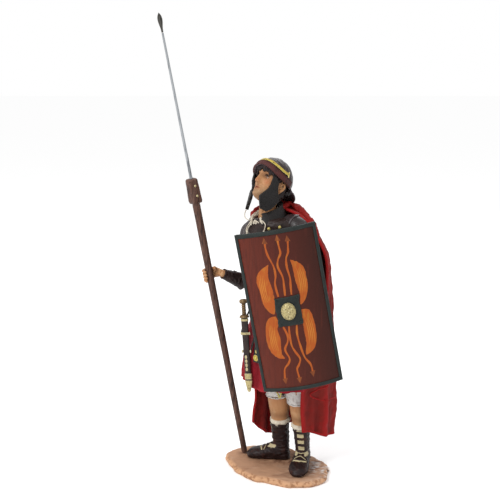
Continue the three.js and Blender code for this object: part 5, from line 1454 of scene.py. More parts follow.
def head_pieces(skin, white, dark):
    parts = [head_loft()]
    for side in (-1, 1):
        parts += ear(side)
        parts.append(tube(eye_ring(side, 1.25, 0.28), 0.42, side=UP, segments=12))
        parts.append(tube(eye_ring(side, 1.85, 0.05), 0.45, side=UP, segments=12))
        parts.append(tube(eye_ring(side, -0.95, 0.2), 0.36, side=UP, segments=12))
    neck = limb([(-14.5, -0.5, 222, 9.4, 9.8), (-15.5, -1.8, 236, 7.4, 8.2), (-13.4, -1.2, 254, 7.4, 8.4)],
                segments=60)
    cords = []
    for side in (-1, 1):
        behind_ear = placed((side * 10.5, -3, -7), HEAD_PLACE)
        middle = np.array((-15.5, -1.8, 240)) + side * 4.5 * -LEFTWARD + 2 * -BACKWARD
        cords.append(tube(smooth_path([behind_ear, middle, (-18.5, -7, 229)], 30), 1.7, segments=14))
    apple = ball((-19.8, -7.6, 240), (1.8, 1.8, 2.6))
    mesh = fused("head_skin", [in_head(part) for part in parts] + [neck, apple] + cords, 0.33, 2,
                 lambda p: 0.035 * waves(p, 1.4, 101))
    points, _ = mesh_points(mesh)
    rotation, origin = HEAD_PLACE
    local = (points - origin) @ rotation
    x, y, z = local.T
    wide = np.abs(x)
    front = np.clip(y / 8, 0, 1)
    lips = front * np.clip(bump(z, -10.6, 1.5) * bump(x, 0, 3.1) * 1.6 - 0.25, 0, 1)
    beard = np.clip(bump(z, -15, 5.5) * (1 - bump(z, -10.6, 1.6) * bump(wide, 0, 3.4)), 0, 1)
    stubble = front * beard + 0.6 * bump(z, -8, 1.2) * bump(wide, 0, 4.5) * front
    warm = front * (bump(wide, 7.6, 3.2) * bump(z, -4, 3.2) + bump(wide, 0, 2.2) * bump(z, -4.5, 1.8))
    # Painted shade in the eye sockets
    socket = front * bump(wide, EYE[0], 3.6) * bump(z, EYE[1] + 0.4, 2.4)
    values = {"lips": lips, "stubble": np.clip(stubble, 0, 1), "warm": np.clip(warm, 0, 1),
              "socket": socket}
    piece("head_skin", mesh, skin, ["figure"], values=values)

    whites, irises, brows = [], [], []
    for side in (-1, 1):
        centre = eye_centre(side)
        whites.append(in_head(ball(centre, (EYE_RADIUS,) * 3, segments=40, rows=30)))
        gaze = unit(np.array([side * 0.02 - 0.1, 1.0, 0.12]))
        across = unit(np.cross(gaze, UP))
        facing = np.stack([across, np.cross(gaze, across), gaze], axis=1)
        irises.append(in_head(ball(centre + gaze * 1.75, (1.6, 1.6, 1.28), facing, 32, 20)))
        share = np.linspace(0, 1, 30)
        bx = side * (1.9 + 6.4 * share)
        bz = 5.0 + 1.3 * np.sin(share * 2.3) - 1.1 * share ** 2
        path = face_point(bx, bz, 0.12)
        width = np.interp(share, [0, 0.15, 0.6, 1], [0.7, 1.15, 0.95, 0.35])
        brows.append(in_head(tube(path, width, side=UP, segments=12, flat=0.6)))
        brows.append(in_head(tube(eye_ring(side, 1.3, 0.72), 0.34, side=UP, segments=8)))
    piece("eye_whites", merged(whites), white)
    piece("eye_irises", merged(irises), dark)
    piece("eye_brows", merged(brows), dark)


def curl(centre, normal, size, turns, phase, thick):
    """A lock of hair: a flat spiral that rises to its middle."""
    share = np.linspace(0, 1, 26)
    angle = phase + share * turns * 2 * math.pi
    radius = size * (1 - 0.75 * share)
    across = unit(np.cross(normal, [0.3, 0.2, 1.0]))
    other = np.cross(normal, across)
    path = (np.asarray(centre) + across * (radius * np.cos(angle))[:, None]
            + other * (radius * np.sin(angle))[:, None] * 1.25
            + np.asarray(normal) * (0.5 * share)[:, None])
    return tube(path, thick * np.interp(share, [0, 0.3, 1], [0.5, 1, 0.7]), side=normal, segments=10)


def hair_piece(hair):
    locks = []
    for height, count, reach, wide, deep, bare in ((9.2, 15, 84, 13.9, 16.9, 0),
                                                   (8.0, 15, 80, 13.2, 15.9, 0),
                                                   (6.6, 13, 76, 12.8, 15.6, 12),
                                                   (4.8, 9, 74, 12.7, 15.4, 34)):
        for degrees in np.linspace(-reach, reach, count):
            if abs(degrees) < bare:
                continue
            angle = math.radians(90 + degrees)
            normal = np.array([math.cos(angle), math.sin(angle), 0.1])
            height_here = height - 1.2 * (degrees / 60) ** 2 + random.uniform(-0.6, 0.6)
            centre = np.array([wide * math.cos(angle), deep * math.sin(angle), height_here])
            locks.append(curl(centre, unit(normal), random.uniform(1.4, 2.0), 1.3,
                              random.uniform(0, 6), 0.9))
    for height, count, reach, low in ((-1, 9, 74, 0), (-4.5, 9, 70, 0), (-8, 9, 66, 0), (-11.3, 7, 52, 1)):
        for degrees in np.linspace(-reach, reach, count):
            angle = math.radians(270 + degrees + random.uniform(-3, 3))
            normal = np.array([math.cos(angle), math.sin(angle), -0.15])
            shrink = 1 - 0.08 * low
            centre = np.array([12.2 * math.cos(angle) * shrink, 15.2 * math.sin(angle) * shrink,
                               height + random.uniform(-0.7, 0.7)])
            locks.append(curl(centre, unit(normal), random.uniform(1.6, 2.2), 1.4,
                              random.uniform(0, 6), 0.95))
    for side in (-1, 1):
        for y, z in ((2.4, 5.4), (1.2, 2.2), (3.6, 7.2), (-0.4, 4.2), (-3.4, 3.2), (-6, 1.2), (-6.4, -2),
                     (-6.2, -5), (-5.6, -8), (-4, -10.6)):
            locks.append(curl((side * (12.2 if y < 3 else 11.8), y, z), np.array([side, 0.1, 0.0]), 1.6,
                              1.3, y + z, 0.85))
    cap = [ball((side * 12.4, 8, 7), (2.4, 6, 3)) for side in (-1, 1)]
    cap += [ball((0, -6.5, -1.5), (11.6, 9.4, 8.5)), ball((0, -7.5, -8.5), (8.6, 6.6, 5.0))]
    mesh = fused("curly_hair", [in_head(part) for part in locks + cap], 0.3, 1,
                 lambda p: 0.09 * waves(p, 1.1, 111))
    piece("curly_hair", mesh, hair)


# Helmet in the head's frame

CROWN_WIDE, CROWN_LONG, CROWN_HIGH, CROWN_Y, CROWN_Z = 16.8, 19.8, 19.6, 0.2, 3.2
HELMET_WALL = 1.6


def rim_height(y):
    return 1.5 + np.where(y > 0, 7.5 * (y / 19) ** 2, 0.15 * y)


def bowl(angle, elevation, offset=0.0):
    level = np.cos(elevation)
    return np.stack([(CROWN_WIDE + offset) * level * np.cos(angle),
                     CROWN_Y + (CROWN_LONG + offset) * level * np.sin(angle),
                     CROWN_Z + (CROWN_HIGH + offset) * np.sin(elevation)], axis=-1)


def rim_elevation(angle, rise):
    elevation = np.zeros(np.broadcast(angle, rise).shape)
    for _ in range(24):
        height = rim_height(bowl(angle, elevation)[..., 1]) + rise - CROWN_Z
        elevation = 0.5 * elevation + 0.5 * np.arcsin(np.clip(height / CROWN_HIGH, -0.9, 0.9))
    return elevation


def helmet_pieces(leather, brow, brass):
    share, angle = turn_grid(90, 180)
    start = rim_elevation(angle, np.array(0.0))
    elevation = start + (math.pi / 2 - start) * share * 0.995
    points = bowl(angle, elevation)
    seams = -0.22 * sum(np.exp(-((np.angle(np.exp(1j * (angle - a)))) * 14 * np.cos(elevation) / 0.5) ** 2)
                        for a in np.arange(4) * math.pi / 2 + math.pi / 4)
    roll = 0.35 * bump(share, 0, 0.02)
    rise = seams + roll + 0.1 * waves(points, 5, 121) - 0.1
    outer = points + unit(points - [0, CROWN_Y, CROWN_Z]) * rise[..., None]
    inner = bowl(angle, elevation, -HELMET_WALL)
    knob = lathe([(2.6, -0.4), (2.4, 0.3), (1.2, 0.7), (0.05, 0.8)], 32, 4)
    top = bowl(np.array(0.0), np.array(math.pi / 2), -0.35)
    parts = [shell(outer, inner, True), (knob[0] + top, knob[1])]
    t, across = grid(40, 90)
    around = np.radians(220 + 100 * across)
    shape = np.maximum(np.cos((around - 1.5 * math.pi) * 1.5), 0) ** 0.6
    outward = np.stack([np.cos(around), np.sin(around), 0 * around], axis=-1)
    flap = bowl(around, rim_elevation(around, 2.0), -0.2) + outward * (8.5 * t ** 1.6 * shape)[..., None]
    flap[..., 2] -= 1.5 * t + 5 * t * shape
    parts.append(wall(flap, HELMET_WALL * 0.8))
    edge = flap[-1]
    parts.append(tube(edge, 0.85, side=(0, 0, 1), segments=12))
    piece("helmet_leather", in_head(merged(parts)), leather, ["helmet_bowl"], crease=55)

    def band(low, high, reach, thick, offset, taper=0.0):
        share, across = grid(24, 200)
        around = np.radians(90 - reach + 2 * reach * across)
        narrow = 1 - taper * np.abs(2 * across - 1) ** 2
        middle, half = (low + high) / 2, (high - low) / 2 * narrow
        rise = middle + half * (2 * share - 1)
        crown = thick * (1 - 0.35 * np.abs(2 * share - 1) ** 6)
        elevation = rim_elevation(around, rise)
        return shell(bowl(around, elevation, offset + crown), bowl(around, elevation, offset - 0.05))

    piece("helmet_brow_leather", in_head(merged([band(0.4, 5.0, 112, 1.1, GAP), band(0, 0.7, 114, 1.3, GAP),
                                                 band(4.5, 5.1, 112, 1.3, GAP)])), brow,
          ["helmet_brow_band"], crease=50)
    ends = []
    for side in (-1, 1):
        around = np.array(math.radians(90 - side * 93))
        low = bowl(around, rim_elevation(around, np.array(6.0)), GAP + 0.9)
        high = bowl(around, rim_elevation(around, np.array(10.0)), GAP + 0.9)
        ends.append(tube(smooth_path([low, (low + high) / 2, high], 16), 0.7, side=(0, 1, 0), segments=14,
                         flat=0.6))
    piece("helmet_brass_strip", in_head(merged([band(6.5, 9.4, 94, 0.95, GAP + 0.1, 0.3)] + ends)), brass,
          ["helmet_brass_band"], crease=50)


CHEEK = [
    (4, 4.6, 10.8, 14.4), (-4, 1.8, 9.9, 14.1), (-9.5, -1.8, 10.6, 13.7), (-14.5, -4.6, 13.4, 13.3),
    (-19.5, -0.6, 15.2, 12.9), (-28, 6.8, 8.8, 12.4),
]
# Side, outward swing, whether it hangs loose, and its twist: the right one turns edge on as it falls
CHEEK_HANG = {"left": (-1, -0.6, 0, 0.0), "right": (1, 4.2, 1, math.radians(53))}
CHEEK_THICK = 1.2


def cheek_surface(hang, t, across, offset=0.0):
    side, swing, loose, twist = hang
    z, back, front, out = blend(CHEEK, t)
    back = back - 4.2 * (1 - loose) * bump(t, 0.95, 0.22)
    turn = twist * np.minimum(1, 2.5 * t)
    reach = (across - 0.5) * (front - back)
    middle = (8 - 6 * t) if loose else (back + front) / 2
    bend = 1.8 * (1 - loose) * across * across
    y = middle + reach * np.cos(turn) + offset * np.sin(turn)
    top = rim_height(middle + reach) - 2 * GAP - 4
    return np.stack([side * (out + swing * t + offset * np.cos(turn) - reach * np.sin(turn) - bend), y,
                     z + top * np.maximum(0, 1 - 2 * t)], axis=-1)


def cheek_pieces(leather, linen):
    for name, hang in CHEEK_HANG.items():
        t, across = grid(90, 44)
        rim = np.maximum(bump(across, 0, 0.06), np.maximum(bump(across, 1, 0.06), bump(t, 1, 0.03)))
        outer = cheek_surface(hang, t, across, 0.3 * rim + 0.2 * bump(across, 0.5, 0.3) - 0.1)
        outer = outer + np.array([hang[0], 0, 0]) * (0.08 * waves(outer, 3.5, 131))[..., None]
        inner = cheek_surface(hang, t, across, -CHEEK_THICK - 1.5 * t * hang[2])
        piece(f"cheek_leather_{name}", in_head(shell(outer, inner)), leather,
              [f"cheek_guard_{name}"], crease=50)
    tip = placed(cheek_surface(CHEEK_HANG["right"], np.array(1.0), np.array(0.5), -CHEEK_THICK / 2),
                 HEAD_PLACE)
    path = smooth_path([tip - [0, 0, 0.75], (-35.6, -1, 235.4), (-35.2, -3.4, 231.8),
                        (-31.6, -6, 229.8)], 50)
    piece("cheek_tie_cord", tube(path, 0.42, segments=10), linen, ["cheek_tie"])


# Arms: tunic sleeves, forearms, leather cuffs and closed hands

def skin_values(warm, socket=None):
    """Painted values of bare skin away from the face: no lips and no stubble."""
    none = np.zeros(len(warm))
    return {"lips": none, "stubble": none, "warm": warm, "socket": none if socket is None else socket}


def grip_frame(centre, bar, wrist):
    to_wrist = wrist - centre
    across = unit(to_wrist - bar * (to_wrist @ bar))
    return matrix(across, np.cross(bar, across), bar, centre)


def hand_parts(place, wrist, bar_radius):
    rotation, origin = place
    local = (wrist - origin) @ rotation
    reach = bar_radius + GAP + 1.45

    def around(degrees, z, r=reach):
        angle = math.radians(degrees)
        return (r * math.cos(angle), r * math.sin(angle), z)

    palm = limb([(*local, 3.3, 3.0), (*around(38, local[2] * 0.35, reach + 3.2), 5, 2.9),
                 (*around(88, 0, reach + 1.4), 5.9, 2.3),
                 (*around(118, 0, reach + 0.3), 5.6, 1.8)], UP, 32, 30, (1.0, 1.0))
    parts = [palm]
    for k, z in enumerate((-4.5, -1.5, 1.5, 4.5)):
        length = (206, 214, 214, 210)[k]
        path = [around(a, z, reach + (0.35 if a in (100, 150) else 0))
                for a in (84, 100, 125, 150, 182, length)]
        thick = [1.5 + 0.14 * math.cos(s * 12) - 0.25 * s for s in np.linspace(0, 1, 40)]
        parts.append(tube(smooth_path(path, 40), thick, UP, 18))
        parts.append(ball(around(97, z, reach + 1.2), (1.35, 1.35, 1.25)))
    thumb = [around(60, -1, reach + 2.8), around(34, 2.6, reach + 1.5), around(10, 4.4, reach + 0.9),
             around(-26, 6.4, reach + 0.4)]
    thick = np.interp(np.linspace(0, 1, 36), [0, 0.4, 0.6, 1], [2.6, 2.0, 1.95, 1.5])
    parts.append(tube(smooth_path(thumb, 36), thick, UP, 20))
    return [moved(part, place) for part in parts]


def arm_pieces(skin, crimson, leather):
    pilum_grip = placed((0, 0, PILUM_GRIP), PILUM)
    shield_grip = placed((0, GRIP_DEPTH, 0), SHIELD)
    wrist_left = placed((8.5, GRIP_DEPTH + 7.5, 0), SHIELD)
    arms = {
        "right": (JOINTS["shoulder_right"], JOINTS["elbow_right"], JOINTS["wrist_right"], pilum_grip,
                  PILUM_WAY, 3.28),
        "left": (JOINTS["shoulder_left"], JOINTS["elbow_left"], wrist_left, shield_grip,
                 placed((1, 0, 0), (SHIELD[0], np.zeros(3))), 1.6),
    }
    for name, (shoulder, elbow, wrist, centre, bar, radius) in arms.items():
        parts = hand_parts(grip_frame(centre, bar, wrist), wrist, radius)
        middle = elbow + (wrist - elbow) * 0.45
        parts.append(limb([(*elbow, 5.8, 5.8), (*middle, 5, 5), (*wrist, 3.3, 3.3)], UP, 40, 40,
                          (4.0, 1.5)))
        mesh = fused(f"hand_{name}", parts, 0.3, 2, lambda p: 0.03 * waves(p, 1.2, 141))
        points, _ = mesh_points(mesh)
        knuckles = bump(np.linalg.norm(points - centre, axis=1), radius + 4.6, 0.9)
        piece(f"hand_{name}", mesh, skin, values=skin_values(warm=0.4 * knuckles))

        upper = shoulder + (elbow - shoulder) * 0.5
        low = shoulder + (elbow - shoulder) * 0.93
        sleeve = limb([(*shoulder, 8.2, 8.2), (*upper, 7.7, 7.7), (*low, 7.6, 7.4)], segments=90, steps=70,
                      round_ends=(3.7, 0),
                      relief=lambda p: 0.28 * waves(p * [1, 1, 2.2], 6, 142) + 0.12 * waves(p, 2.6, 143))
        elbow_part = limb([(*low, 6.9, 6.9), (*elbow, 6.8, 6.6)], segments=48, steps=12,
                          round_ends=(0, 4.6))
        mesh = fused(f"sleeve_{name}", [sleeve, elbow_part], 0.4, 1, lambda p: 0.14 * waves(p, 3, 144))
        points, _ = mesh_points(mesh)
        # fold paints shade and highlight in random patches over the sleeve
        fold = np.clip(0.5 + 0.25 * waves(points * [1, 1, 2], 5, 145), 0, 1)
        piece(f"sleeve_{name}", mesh, crimson,
              values={"fold": fold, "hem": np.zeros(len(points))})

        t, angle = turn_grid(70, 100)
        radius_here = np.interp(t, [0, 0.06, 0.16, 0.5, 1], [8.0, 7.7, 7.1, 6.0, 4.5])
        straps = 0.2 * (bump(t, 0.3, 0.03) + bump(t, 0.7, 0.03))
        ridge = 0.35 * (bump(t, 0.02, 0.03) + bump(t, 0.98, 0.03)) + straps
        along = unit(wrist - elbow)
        across = unit(np.cross(along, UP))
        other = np.cross(across, along)
        centre_line = elbow + (wrist - elbow) * (0.3 + 0.65 * t)[..., None]

        def ring(extra):
            r = (radius_here + extra)[..., None]
            return centre_line + across * r * np.cos(angle)[..., None] + other * r * np.sin(angle)[...,
                                                                                                   None]

        outer, inner = ring(ridge), ring(-1.0 + 0 * ridge)
        outer = outer + 0.08 * waves(outer, 3, 146)[..., None] * across
        piece(f"cuff_{name}", shell(outer, inner, True), leather, [f"vambrace_{name}"],
              crease=55)
        if name == "right":
            at = elbow + (wrist - elbow) * 0.62 + other * 5.6
            knot = [ball(at + along * d, (1.1, 0.9, 1.0), segments=14, rows=10) for d in (-1.2, 0, 1.3)]
            knot.append(tube(smooth_path([at, at + along * 1.5 - UP * 2.6, at + along * 0.6 - UP * 5.2],
                                         20), 0.5, segments=10))
            piece("cuff_knot", merged(knot), leather)


# Legs: breeches of thin linen, bare shins, rolled socks and laced boots

def leg_pieces(skin, gauze, wool):
    for name, hem_share in (("right", 0.22), ("left", 0.27)):
        hip, knee, ankle = (JOINTS[f"{joint}_{name}"] for joint in ("hip", "knee", "ankle"))
        toward = turned(FOOT_YAW[name] + 90)
        thigh = hip + (knee - hip) * 0.6
        hem = knee + (ankle - knee) * hem_share
        breeches = limb([(*hip, 12, 12), (*thigh, 12, 12), (*hem, 11.2, 11.0)], toward, 130, 130,
                        relief=lambda p: 0.25 * waves(p * [1, 1, 0.35], 5, 151)
                        + 0.12 * waves(p * [1, 1, 2], 4.5, 152))
        way = unit(ankle - knee)
        side = unit(toward - way * (toward @ way))
        other = np.cross(way, side)
        around = np.linspace(0, 2 * math.pi, 80)
        hoop = hem + side * (11.0 * np.cos(around))[:, None] + other * (10.8 * np.sin(around))[:, None]
        hoop = hoop + 0.15 * waves(hoop, 6, 153)[:, None] * way
        piece(f"breeches_{name}",
              merged([breeches, tube(hoop, 0.75, side=way, segments=10, round_ends=False)]), gauze,
              crease=60)

        top = ankle + (knee - ankle) * (BOOT_TOP - ankle[2]) / (knee - ankle)[2]
        calf = knee + (ankle - knee) * 0.32
        low = knee + (ankle - knee) * 0.62
        back = -turned(FOOT_YAW[name])

        def muscle(points):
            height = points[..., 2]
            behind = ((points - ankle) @ back) / 9
            shin = np.clip(-behind, 0, 1)
            calf_swell = 0.7 * bump(height, 58, 11) * np.clip(behind, 0, 1)
            kneecap = 0.35 * bump(height, 79, 6) * shin - 0.3 * bump(height, 68, 4) * shin
            return calf_swell + kneecap + 0.05 * waves(points, 2, 154)

        shin = limb([(*knee, 9.8, 9.8), (*calf, 9.6, 9.8), (*low, 7.8, 8), (*top, 7.2, 7.4)], toward, 90,
                    90, relief=muscle)
        height = shin[0][:, 2]
        # The second value darkens a band of the shin just above the sock
        values = skin_values(0.5 * bump(height, 66, 8), 0.6 * bump(height, 46, 4))
        piece(f"shin_{name}", shin, skin, values=values)

        up = unit(knee - ankle)
        sock = limb([(*(top - up * 1.5), 8.2, 8.4), (*(top + up * 0.2), 9.0, 9.2),
                     (*(top + up * 1.8), 9.4, 9.5), (*(top + up * 3.4), 8.8, 8.9),
                     (*(top + up * 4.0), 8.0, 8.2)], toward, 100, 50,
                    relief=lambda p: 0.22 * waves(p * [1, 1, 0.8], 5, 155) + 0.08 * waves(p, 1.5, 156))
        piece(f"sock_{name}", sock, wool)


FOOT = [(-7, 3.4, 12), (-4, 6.4, 17), (4, 7.2, 18), (13, 7.8, 13.5), (22, 8.8, 9.6), (29, 7.4, 7.6),
        (32, 4, 5)]


def foot_part():
    t, angle = turn_grid(90, 100)
    x, wide, top = blend(FOOT, t)
    rise = 0.45 * top + 0.55 * top * np.sin(angle)
    rise = np.maximum(0.0, rise)
    return loft(np.stack([x, wide * np.cos(angle), rise], axis=-1), (-8, 0, 4), (33.6, 0, 2))


def boot_gaps(local, top_z):
    """Where the cream lining shows: squares up the shin and slanted lines over the instep."""
    x, y, z = local.T
    shaft = np.clip((z - 15) / 1, 0, 1) * np.clip((top_z - 1.6 - z) / 1, 0, 1)
    level = ((z - 15) / 6.2) % 1
    turn = np.arctan2(y, x + 1.5)
    squares = np.clip((0.34 - np.abs(turn)) * 14, 0, 1) * np.clip((0.33 - np.abs(level - 0.5)) * 12, 0,
                                                                  1) * shaft * (x > 0)
    instep = np.clip((0.3 - np.abs(np.abs(turn) - 0.5)) * 12, 0, 1) * bump(z, 13.4, 1.5)
    instep = instep * (x > 0) * (z < 15)
    for start, slant, wide in ((11.4, 0.34, 0.5), (14.4, -0.3, 0.5), (20.2, 0.32, 0.85)):
        line = np.clip(1.5 * bump(x + slant * np.abs(y), start, wide) - 0.35, 0, 1)
        instep = np.maximum(instep, line * (np.abs(y) < 6.4) * (z > 4.2))
    return np.maximum(squares, instep * (1 - shaft))


def boot_relief(local, top_z):
    x, y, z = local.T
    gap = boot_gaps(local, top_z)
    sole = 0.45 * np.clip((2.1 - z) / 0.4, 0, 1)
    strap_places = ((10.4, 0.05), (14.1, 0.05), (17.6, 0.1))
    straps = 0.3 * sum(bump(x + s * y, c, 1.1) for c, s in strap_places) * (z > 3) * (z < 16)
    cap = 0.3 / (1 + np.exp(-(x - 22) / 0.3)) * (z > 2)
    cuff = 0.4 * bump(z, top_z - 0.6, 0.8)
    counter = 0.25 * bump(x, -3, 2.5) * (z < 14)
    return sole + straps + cap + cuff + counter - 0.55 * gap


def boot_pieces(boot_look):
    for name in ("right", "left"):
        ankle, knee = JOINTS[f"ankle_{name}"], JOINTS[f"knee_{name}"]
        yaw = FOOT_YAW[name]
        forward, side = turned(yaw), turned(yaw + 90)
        place = matrix(forward, side, UP, (ankle[0], ankle[1], 0))
        top = ankle + (knee - ankle) * (BOOT_TOP - ankle[2]) / (knee - ankle)[2]
        low = ankle.copy()
        low[2] = 6
        shaft = limb([(*low, 6.4, 7.2), (*(ankle + (top - ankle) * 0.2), 6.8, 7.4),
                      (*(ankle + (top - ankle) * 0.7), 7.6, 7.9),
                      (*top, 8.7, 8.9)], side, 80, 60)
        front = limb([(*(low + forward * 1.5), 6.0, 6.4), (*(ankle + forward * 2.4), 6.0, 6.4),
                      (*(top + forward * 1.5 - UP), 7.6, 7.9)], side, 60, 40)
        mesh = fused(f"boot_{name}", [moved(foot_part(), place), shaft, front], 0.42, 2)
        points, normals = mesh_points(mesh)
        local = (points - place[1]) @ place[0]
        lean = (top - ankle) @ place[0] / (top[2] - ankle[2])
        straight = local.copy()
        straight[:, :2] -= lean[:2] * np.maximum(local[:, 2:3] - ankle[2], 0)
        wear = 0.16 * waves(points * [1, 1, 2.4], 6, 162)
        rise = boot_relief(straight, BOOT_TOP) + 0.07 * waves(points, 3, 161) + wear
        points = points + normals * rise[:, None]
        points[:, 2] = np.maximum(points[:, 2], 0.02)
        move_points(mesh, points)
        piece(f"boot_{name}", mesh, boot_look,
              values={"gap": boot_gaps(straight, BOOT_TOP)})


# Between the knees a dark strap with a brass buckle hangs from under the skirt

def garter_piece(leather, brass):
    strap = smooth_path([(-1.5, -8, 82), (-0.5, -10.5, 76), (-1.0, -11.5, 71)], 20)
    piece("hanging_strap", tube(strap, 1.9, side=LEFTWARD, segments=14, flat=0.45), leather)
    drop = smooth_path([(-7.6, -9.6, 74.5), (-5.6, -11.2, 71), (-4.0, -11.9, 67.6), (-2.8, -11.6, 71.5),
                        (-2.6, -10.6, 75)], 30)
    piece("hanging_brass", tube(drop, 0.8, segments=12), brass)


# Paints and stage

def skin_finish():
    look = Finish("skin_paint", rgb(208, 152, 104), 0.5, specular=0.2)
    look.mottle(rgb(228, 184, 136), 0.5, 0.7, 0.6, 7, 4)
    look.mottle(rgb(158, 104, 66), 0.56, 0.74, 0.5, 10, 4)
    look.layer(rgb(198, 116, 76), look.value("warm"), 0.6)
    # Painted shade in the eye sockets, and a darker band on the shins just above the socks
    look.layer(rgb(96, 54, 36), look.value("socket"), 0.75)
    look.layer(rgb(150, 128, 104), look.value("stubble"), 0.45)
    look.layer(rgb(150, 72, 54), look.value("lips"), 0.85)
    # Painted shade in the hollows
    look.on_edges(rgb(84, 44, 28), 0.49, 0.44, 0.9)
    look.gloss(look.noise(3), 0.38, 0.6)
    look.relief(look.noise(0.8, 3), 0.12, 0.3)
    return look.material


def boot_finish():
    look = Finish("boot_paint", rgb(44, 27, 26), 0.5)
    look.mottle(rgb(86, 42, 28), 0.54, 0.72, 0.8, 6, 5)
    look.mottle(rgb(22, 15, 18), 0.5, 0.7, 0.7, 4, 4)
    look.on_edges(rgb(92, 60, 48), 0.52, 0.58, 0.6)
    look.layer(rgb(214, 198, 156), look.between(look.value("gap"), 0.4, 0.6), 1.0)
    look.gloss(look.noise(3), 0.3, 0.6)
    look.relief(look.noise(1.4, 5), 0.3, 0.45)
    return look.material


def shield_finish(name, left, right, streak):
    look = Finish(name, left, 0.5, specular=0.15)
    # Painted shade: the board goes from the left colour to the darker right colour across its width, the
    # right side being turned from the light
    look.layer(right, look.value("across"), 1.0)
    look.mottle(streak, 0.46, 0.68, 0.55, 1.8, 5, (1, 1, 14), turn=(0, -10, 0))
    look.mottle(rgb(126, 58, 42), 0.6, 0.76, 0.25, 2.6, 4, (1, 1, 10), turn=(0, -10, 0))
    look.gloss(look.noise(6), 0.4, 0.6)
    look.relief(look.noise(1.5, 5, (1, 1, 12), turn=(0, -10, 0)), 0.25, 0.4)
    return look.material


def device_finish(name, colour, edge, dark):
    look = Finish(name, colour, 0.5, specular=0.15)
    look.mottle(edge, 0.5, 0.7, 0.7, 2.2, 5, (1, 1, 4), turn=(0, -10, 0))
    look.mottle(dark, 0.55, 0.75, 0.55, 3.2, 5, (1, 1, 3))
    look.gloss(look.noise(5), 0.4, 0.6)
    look.relief(look.noise(1.2, 4, (1, 1, 6)), 0.2, 0.4)
    return look.material


def plain_finish(name, colour, shade, roughness=0.4, size=2.0):
    look = Finish(name, colour, roughness)
    look.mottle(shade, 0.48, 0.68, 0.8, size, 4)
    look.relief(look.noise(size * 0.4, 3), 0.15, 0.4)
    return look.material


def steel_finish():
    look = Finish("bright_steel", rgb(196, 200, 204), 0.25, 0.9)
    look.mottle(rgb(96, 100, 106), 0.5, 0.7, 0.8, 2, 5, (1, 1, 30))
    look.gloss(look.noise(2, 3, (1, 1, 20)), 0.18, 0.42)
    look.relief(look.noise(0.6, 3, (1, 1, 30)), 0.1, 0.4)
    return look.material


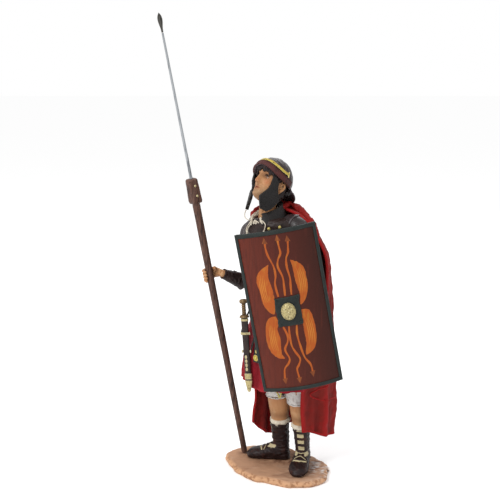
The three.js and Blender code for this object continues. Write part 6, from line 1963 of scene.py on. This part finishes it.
def build_statue():
    red = cloth_finish("red_cloth", rgb(140, 36, 30), rgb(176, 30, 30), rgb(92, 24, 22))
    crimson = cloth_finish("crimson_cloth", rgb(158, 30, 42), rgb(186, 44, 54), rgb(86, 12, 22))
    brown = leather_finish("brown_leather", rgb(46, 28, 24), rgb(72, 48, 42), rgb(24, 14, 14))
    black = leather_finish("black_leather", rgb(27, 23, 22), rgb(48, 42, 40), rgb(14, 12, 12), (0.5, 0.7))
    # The helmet's lighter purple-grey patches and edges are painted sheen
    helmet = leather_finish("helmet_leather", rgb(48, 32, 32), rgb(88, 74, 80), rgb(26, 18, 20),
                            (0.3, 0.5), 12, 0.4)
    brow = leather_finish("brow_leather", rgb(88, 38, 34), rgb(120, 62, 56), rgb(44, 20, 20), (0.5, 0.7), 6)
    plate = leather_finish("grey_plate", rgb(66, 55, 56), rgb(100, 90, 92), rgb(34, 28, 28), (0.25, 0.45),
                           9, 0.4)
    brass = metal_finish("yellow_brass", rgb(222, 196, 84), rgb(112, 84, 34), rgb(250, 238, 160), 0.3,
                         (0.28, 0.5), 2.2)
    gold = metal_finish("mottled_gold", rgb(206, 190, 134), rgb(70, 52, 34), rgb(250, 240, 200), 0.25,
                        (0.3, 0.5), 1.3)
    pale_brass = metal_finish("pale_brass", rgb(214, 196, 140), rgb(120, 96, 60), rgb(240, 228, 190), 0.3,
                              (0.3, 0.5), 1.5)
    hilt = metal_finish("hilt_bronze", rgb(128, 96, 62), rgb(52, 36, 26), rgb(190, 164, 120), 0.3,
                        (0.35, 0.55), 1.5)
    iron = metal_finish("dark_iron", rgb(84, 82, 78), rgb(38, 34, 32), rgb(140, 138, 132), 0.6,
                        (0.35, 0.55), 1.5)
    rim = leather_finish("shield_edge_paint", rgb(26, 35, 33), rgb(42, 53, 49), rgb(16, 22, 21),
                         (0.55, 0.75), 7, 0.3)
    wood = wood_finish("pilum_wood", rgb(104, 72, 60), rgb(50, 33, 30), (7.5, -10, 0), rgb(136, 104, 92))
    linen = linen_finish("linen", rgb(246, 234, 212), rgb(160, 130, 108))
    gauze = linen_finish("gauze", rgb(248, 242, 236), rgb(186, 170, 164))
    skin = skin_finish()
    hair = plain_finish("hair_paint", rgb(34, 24, 24), rgb(70, 46, 40), 0.45, 2.4)
    white = plain_finish("eye_white", rgb(224, 214, 200), rgb(190, 170, 150), 0.25, 3)
    dark = plain_finish("eye_dark", rgb(26, 18, 18), rgb(44, 30, 26), 0.25, 1.5)

    base_piece()
    cloak_pieces(red)
    collar_roll(red)
    skirt_piece(crimson)
    cuirass_piece(brown)
    studs_and_belt(black, brass)
    guard_piece("shoulder_plates_left", 1, plate)
    guard_piece("shoulder_plates_right", -1, plate)
    scarf_pieces(linen)
    collar_band(black)
    sword_pieces(brown, pale_brass, hilt, black)
    apron_pieces(black, brass)
    field = shield_finish("shield_field", rgb(112, 46, 32), rgb(62, 28, 21), rgb(78, 34, 25))
    shield_face(field,
                device_finish("device_orange", rgb(190, 94, 34), rgb(200, 126, 46), rgb(156, 62, 28)),
                device_finish("device_yellow", rgb(216, 138, 56), rgb(204, 112, 40), rgb(180, 84, 32)),
                device_finish("device_dim", rgb(140, 74, 38), rgb(168, 96, 46), rgb(84, 42, 26)))
    shield_board_piece(field, wood)
    shield_rim_piece(rim)
    shield_boss_pieces(rim, gold, wood)
    pilum_pieces(wood, steel_finish(), iron, pale_brass)
    head_pieces(skin, white, dark)
    hair_piece(hair)
    helmet_pieces(helmet, brow, brass)
    cheek_pieces(black, linen)
    arm_pieces(skin, crimson, brown)
    leg_pieces(skin, gauze, linen)
    boot_pieces(boot_finish())
    garter_piece(black, brass)


# Camera at the photograph's viewing angle, with a plain pale floor and soft studio light

CAMERA_PLACE = (-0.0255, -0.8628, 0.36)
CAMERA_LENS = 70.0
CAMERA_PITCH = 80.0


def build_stage():
    scene = bpy.context.scene
    camera = bpy.data.cameras.new("camera")
    camera.lens = CAMERA_LENS
    camera.sensor_width = 36
    camera.sensor_fit = "HORIZONTAL"
    holder = bpy.data.objects.new("camera", camera)
    holder.location = CAMERA_PLACE
    holder.rotation_euler = (math.radians(CAMERA_PITCH), 0, 0)
    scene.collection.objects.link(holder)
    scene.camera = holder

    bpy.ops.mesh.primitive_plane_add(size=40, location=(0, 0, 0))
    floor = bpy.context.object
    floor.name = "floor"
    paper = Finish("floor_paper", (0.98, 0.98, 0.98, 1), 0.9, specular=0.0)
    floor.data.materials.append(paper.material)

    world = bpy.data.worlds.new("studio")
    scene.world = world
    world.use_nodes = True
    background = world.node_tree.nodes["Background"]
    background.inputs[0].default_value = (1, 1, 1, 1)
    background.inputs[1].default_value = 1.0
    scene.view_settings.view_transform = "Standard"

    for name, place, aim, size, watts in (
        ("key", (-0.75, -0.95, 1.15), (0, 0, 0.18), 0.6, 14),
        ("back", (0.3, 1.0, 1.1), (0, 0, 0.2), 0.9, 5),
    ):
        lamp = bpy.data.lights.new(name, "AREA")
        lamp.energy = watts
        lamp.size = size
        lamp_holder = bpy.data.objects.new(name, lamp)
        lamp_holder.location = place
        lamp_holder.rotation_euler = (Vector(aim) - Vector(place)).to_track_quat("-Z", "Y").to_euler()
        scene.collection.objects.link(lamp_holder)


build_statue()
build_stage()
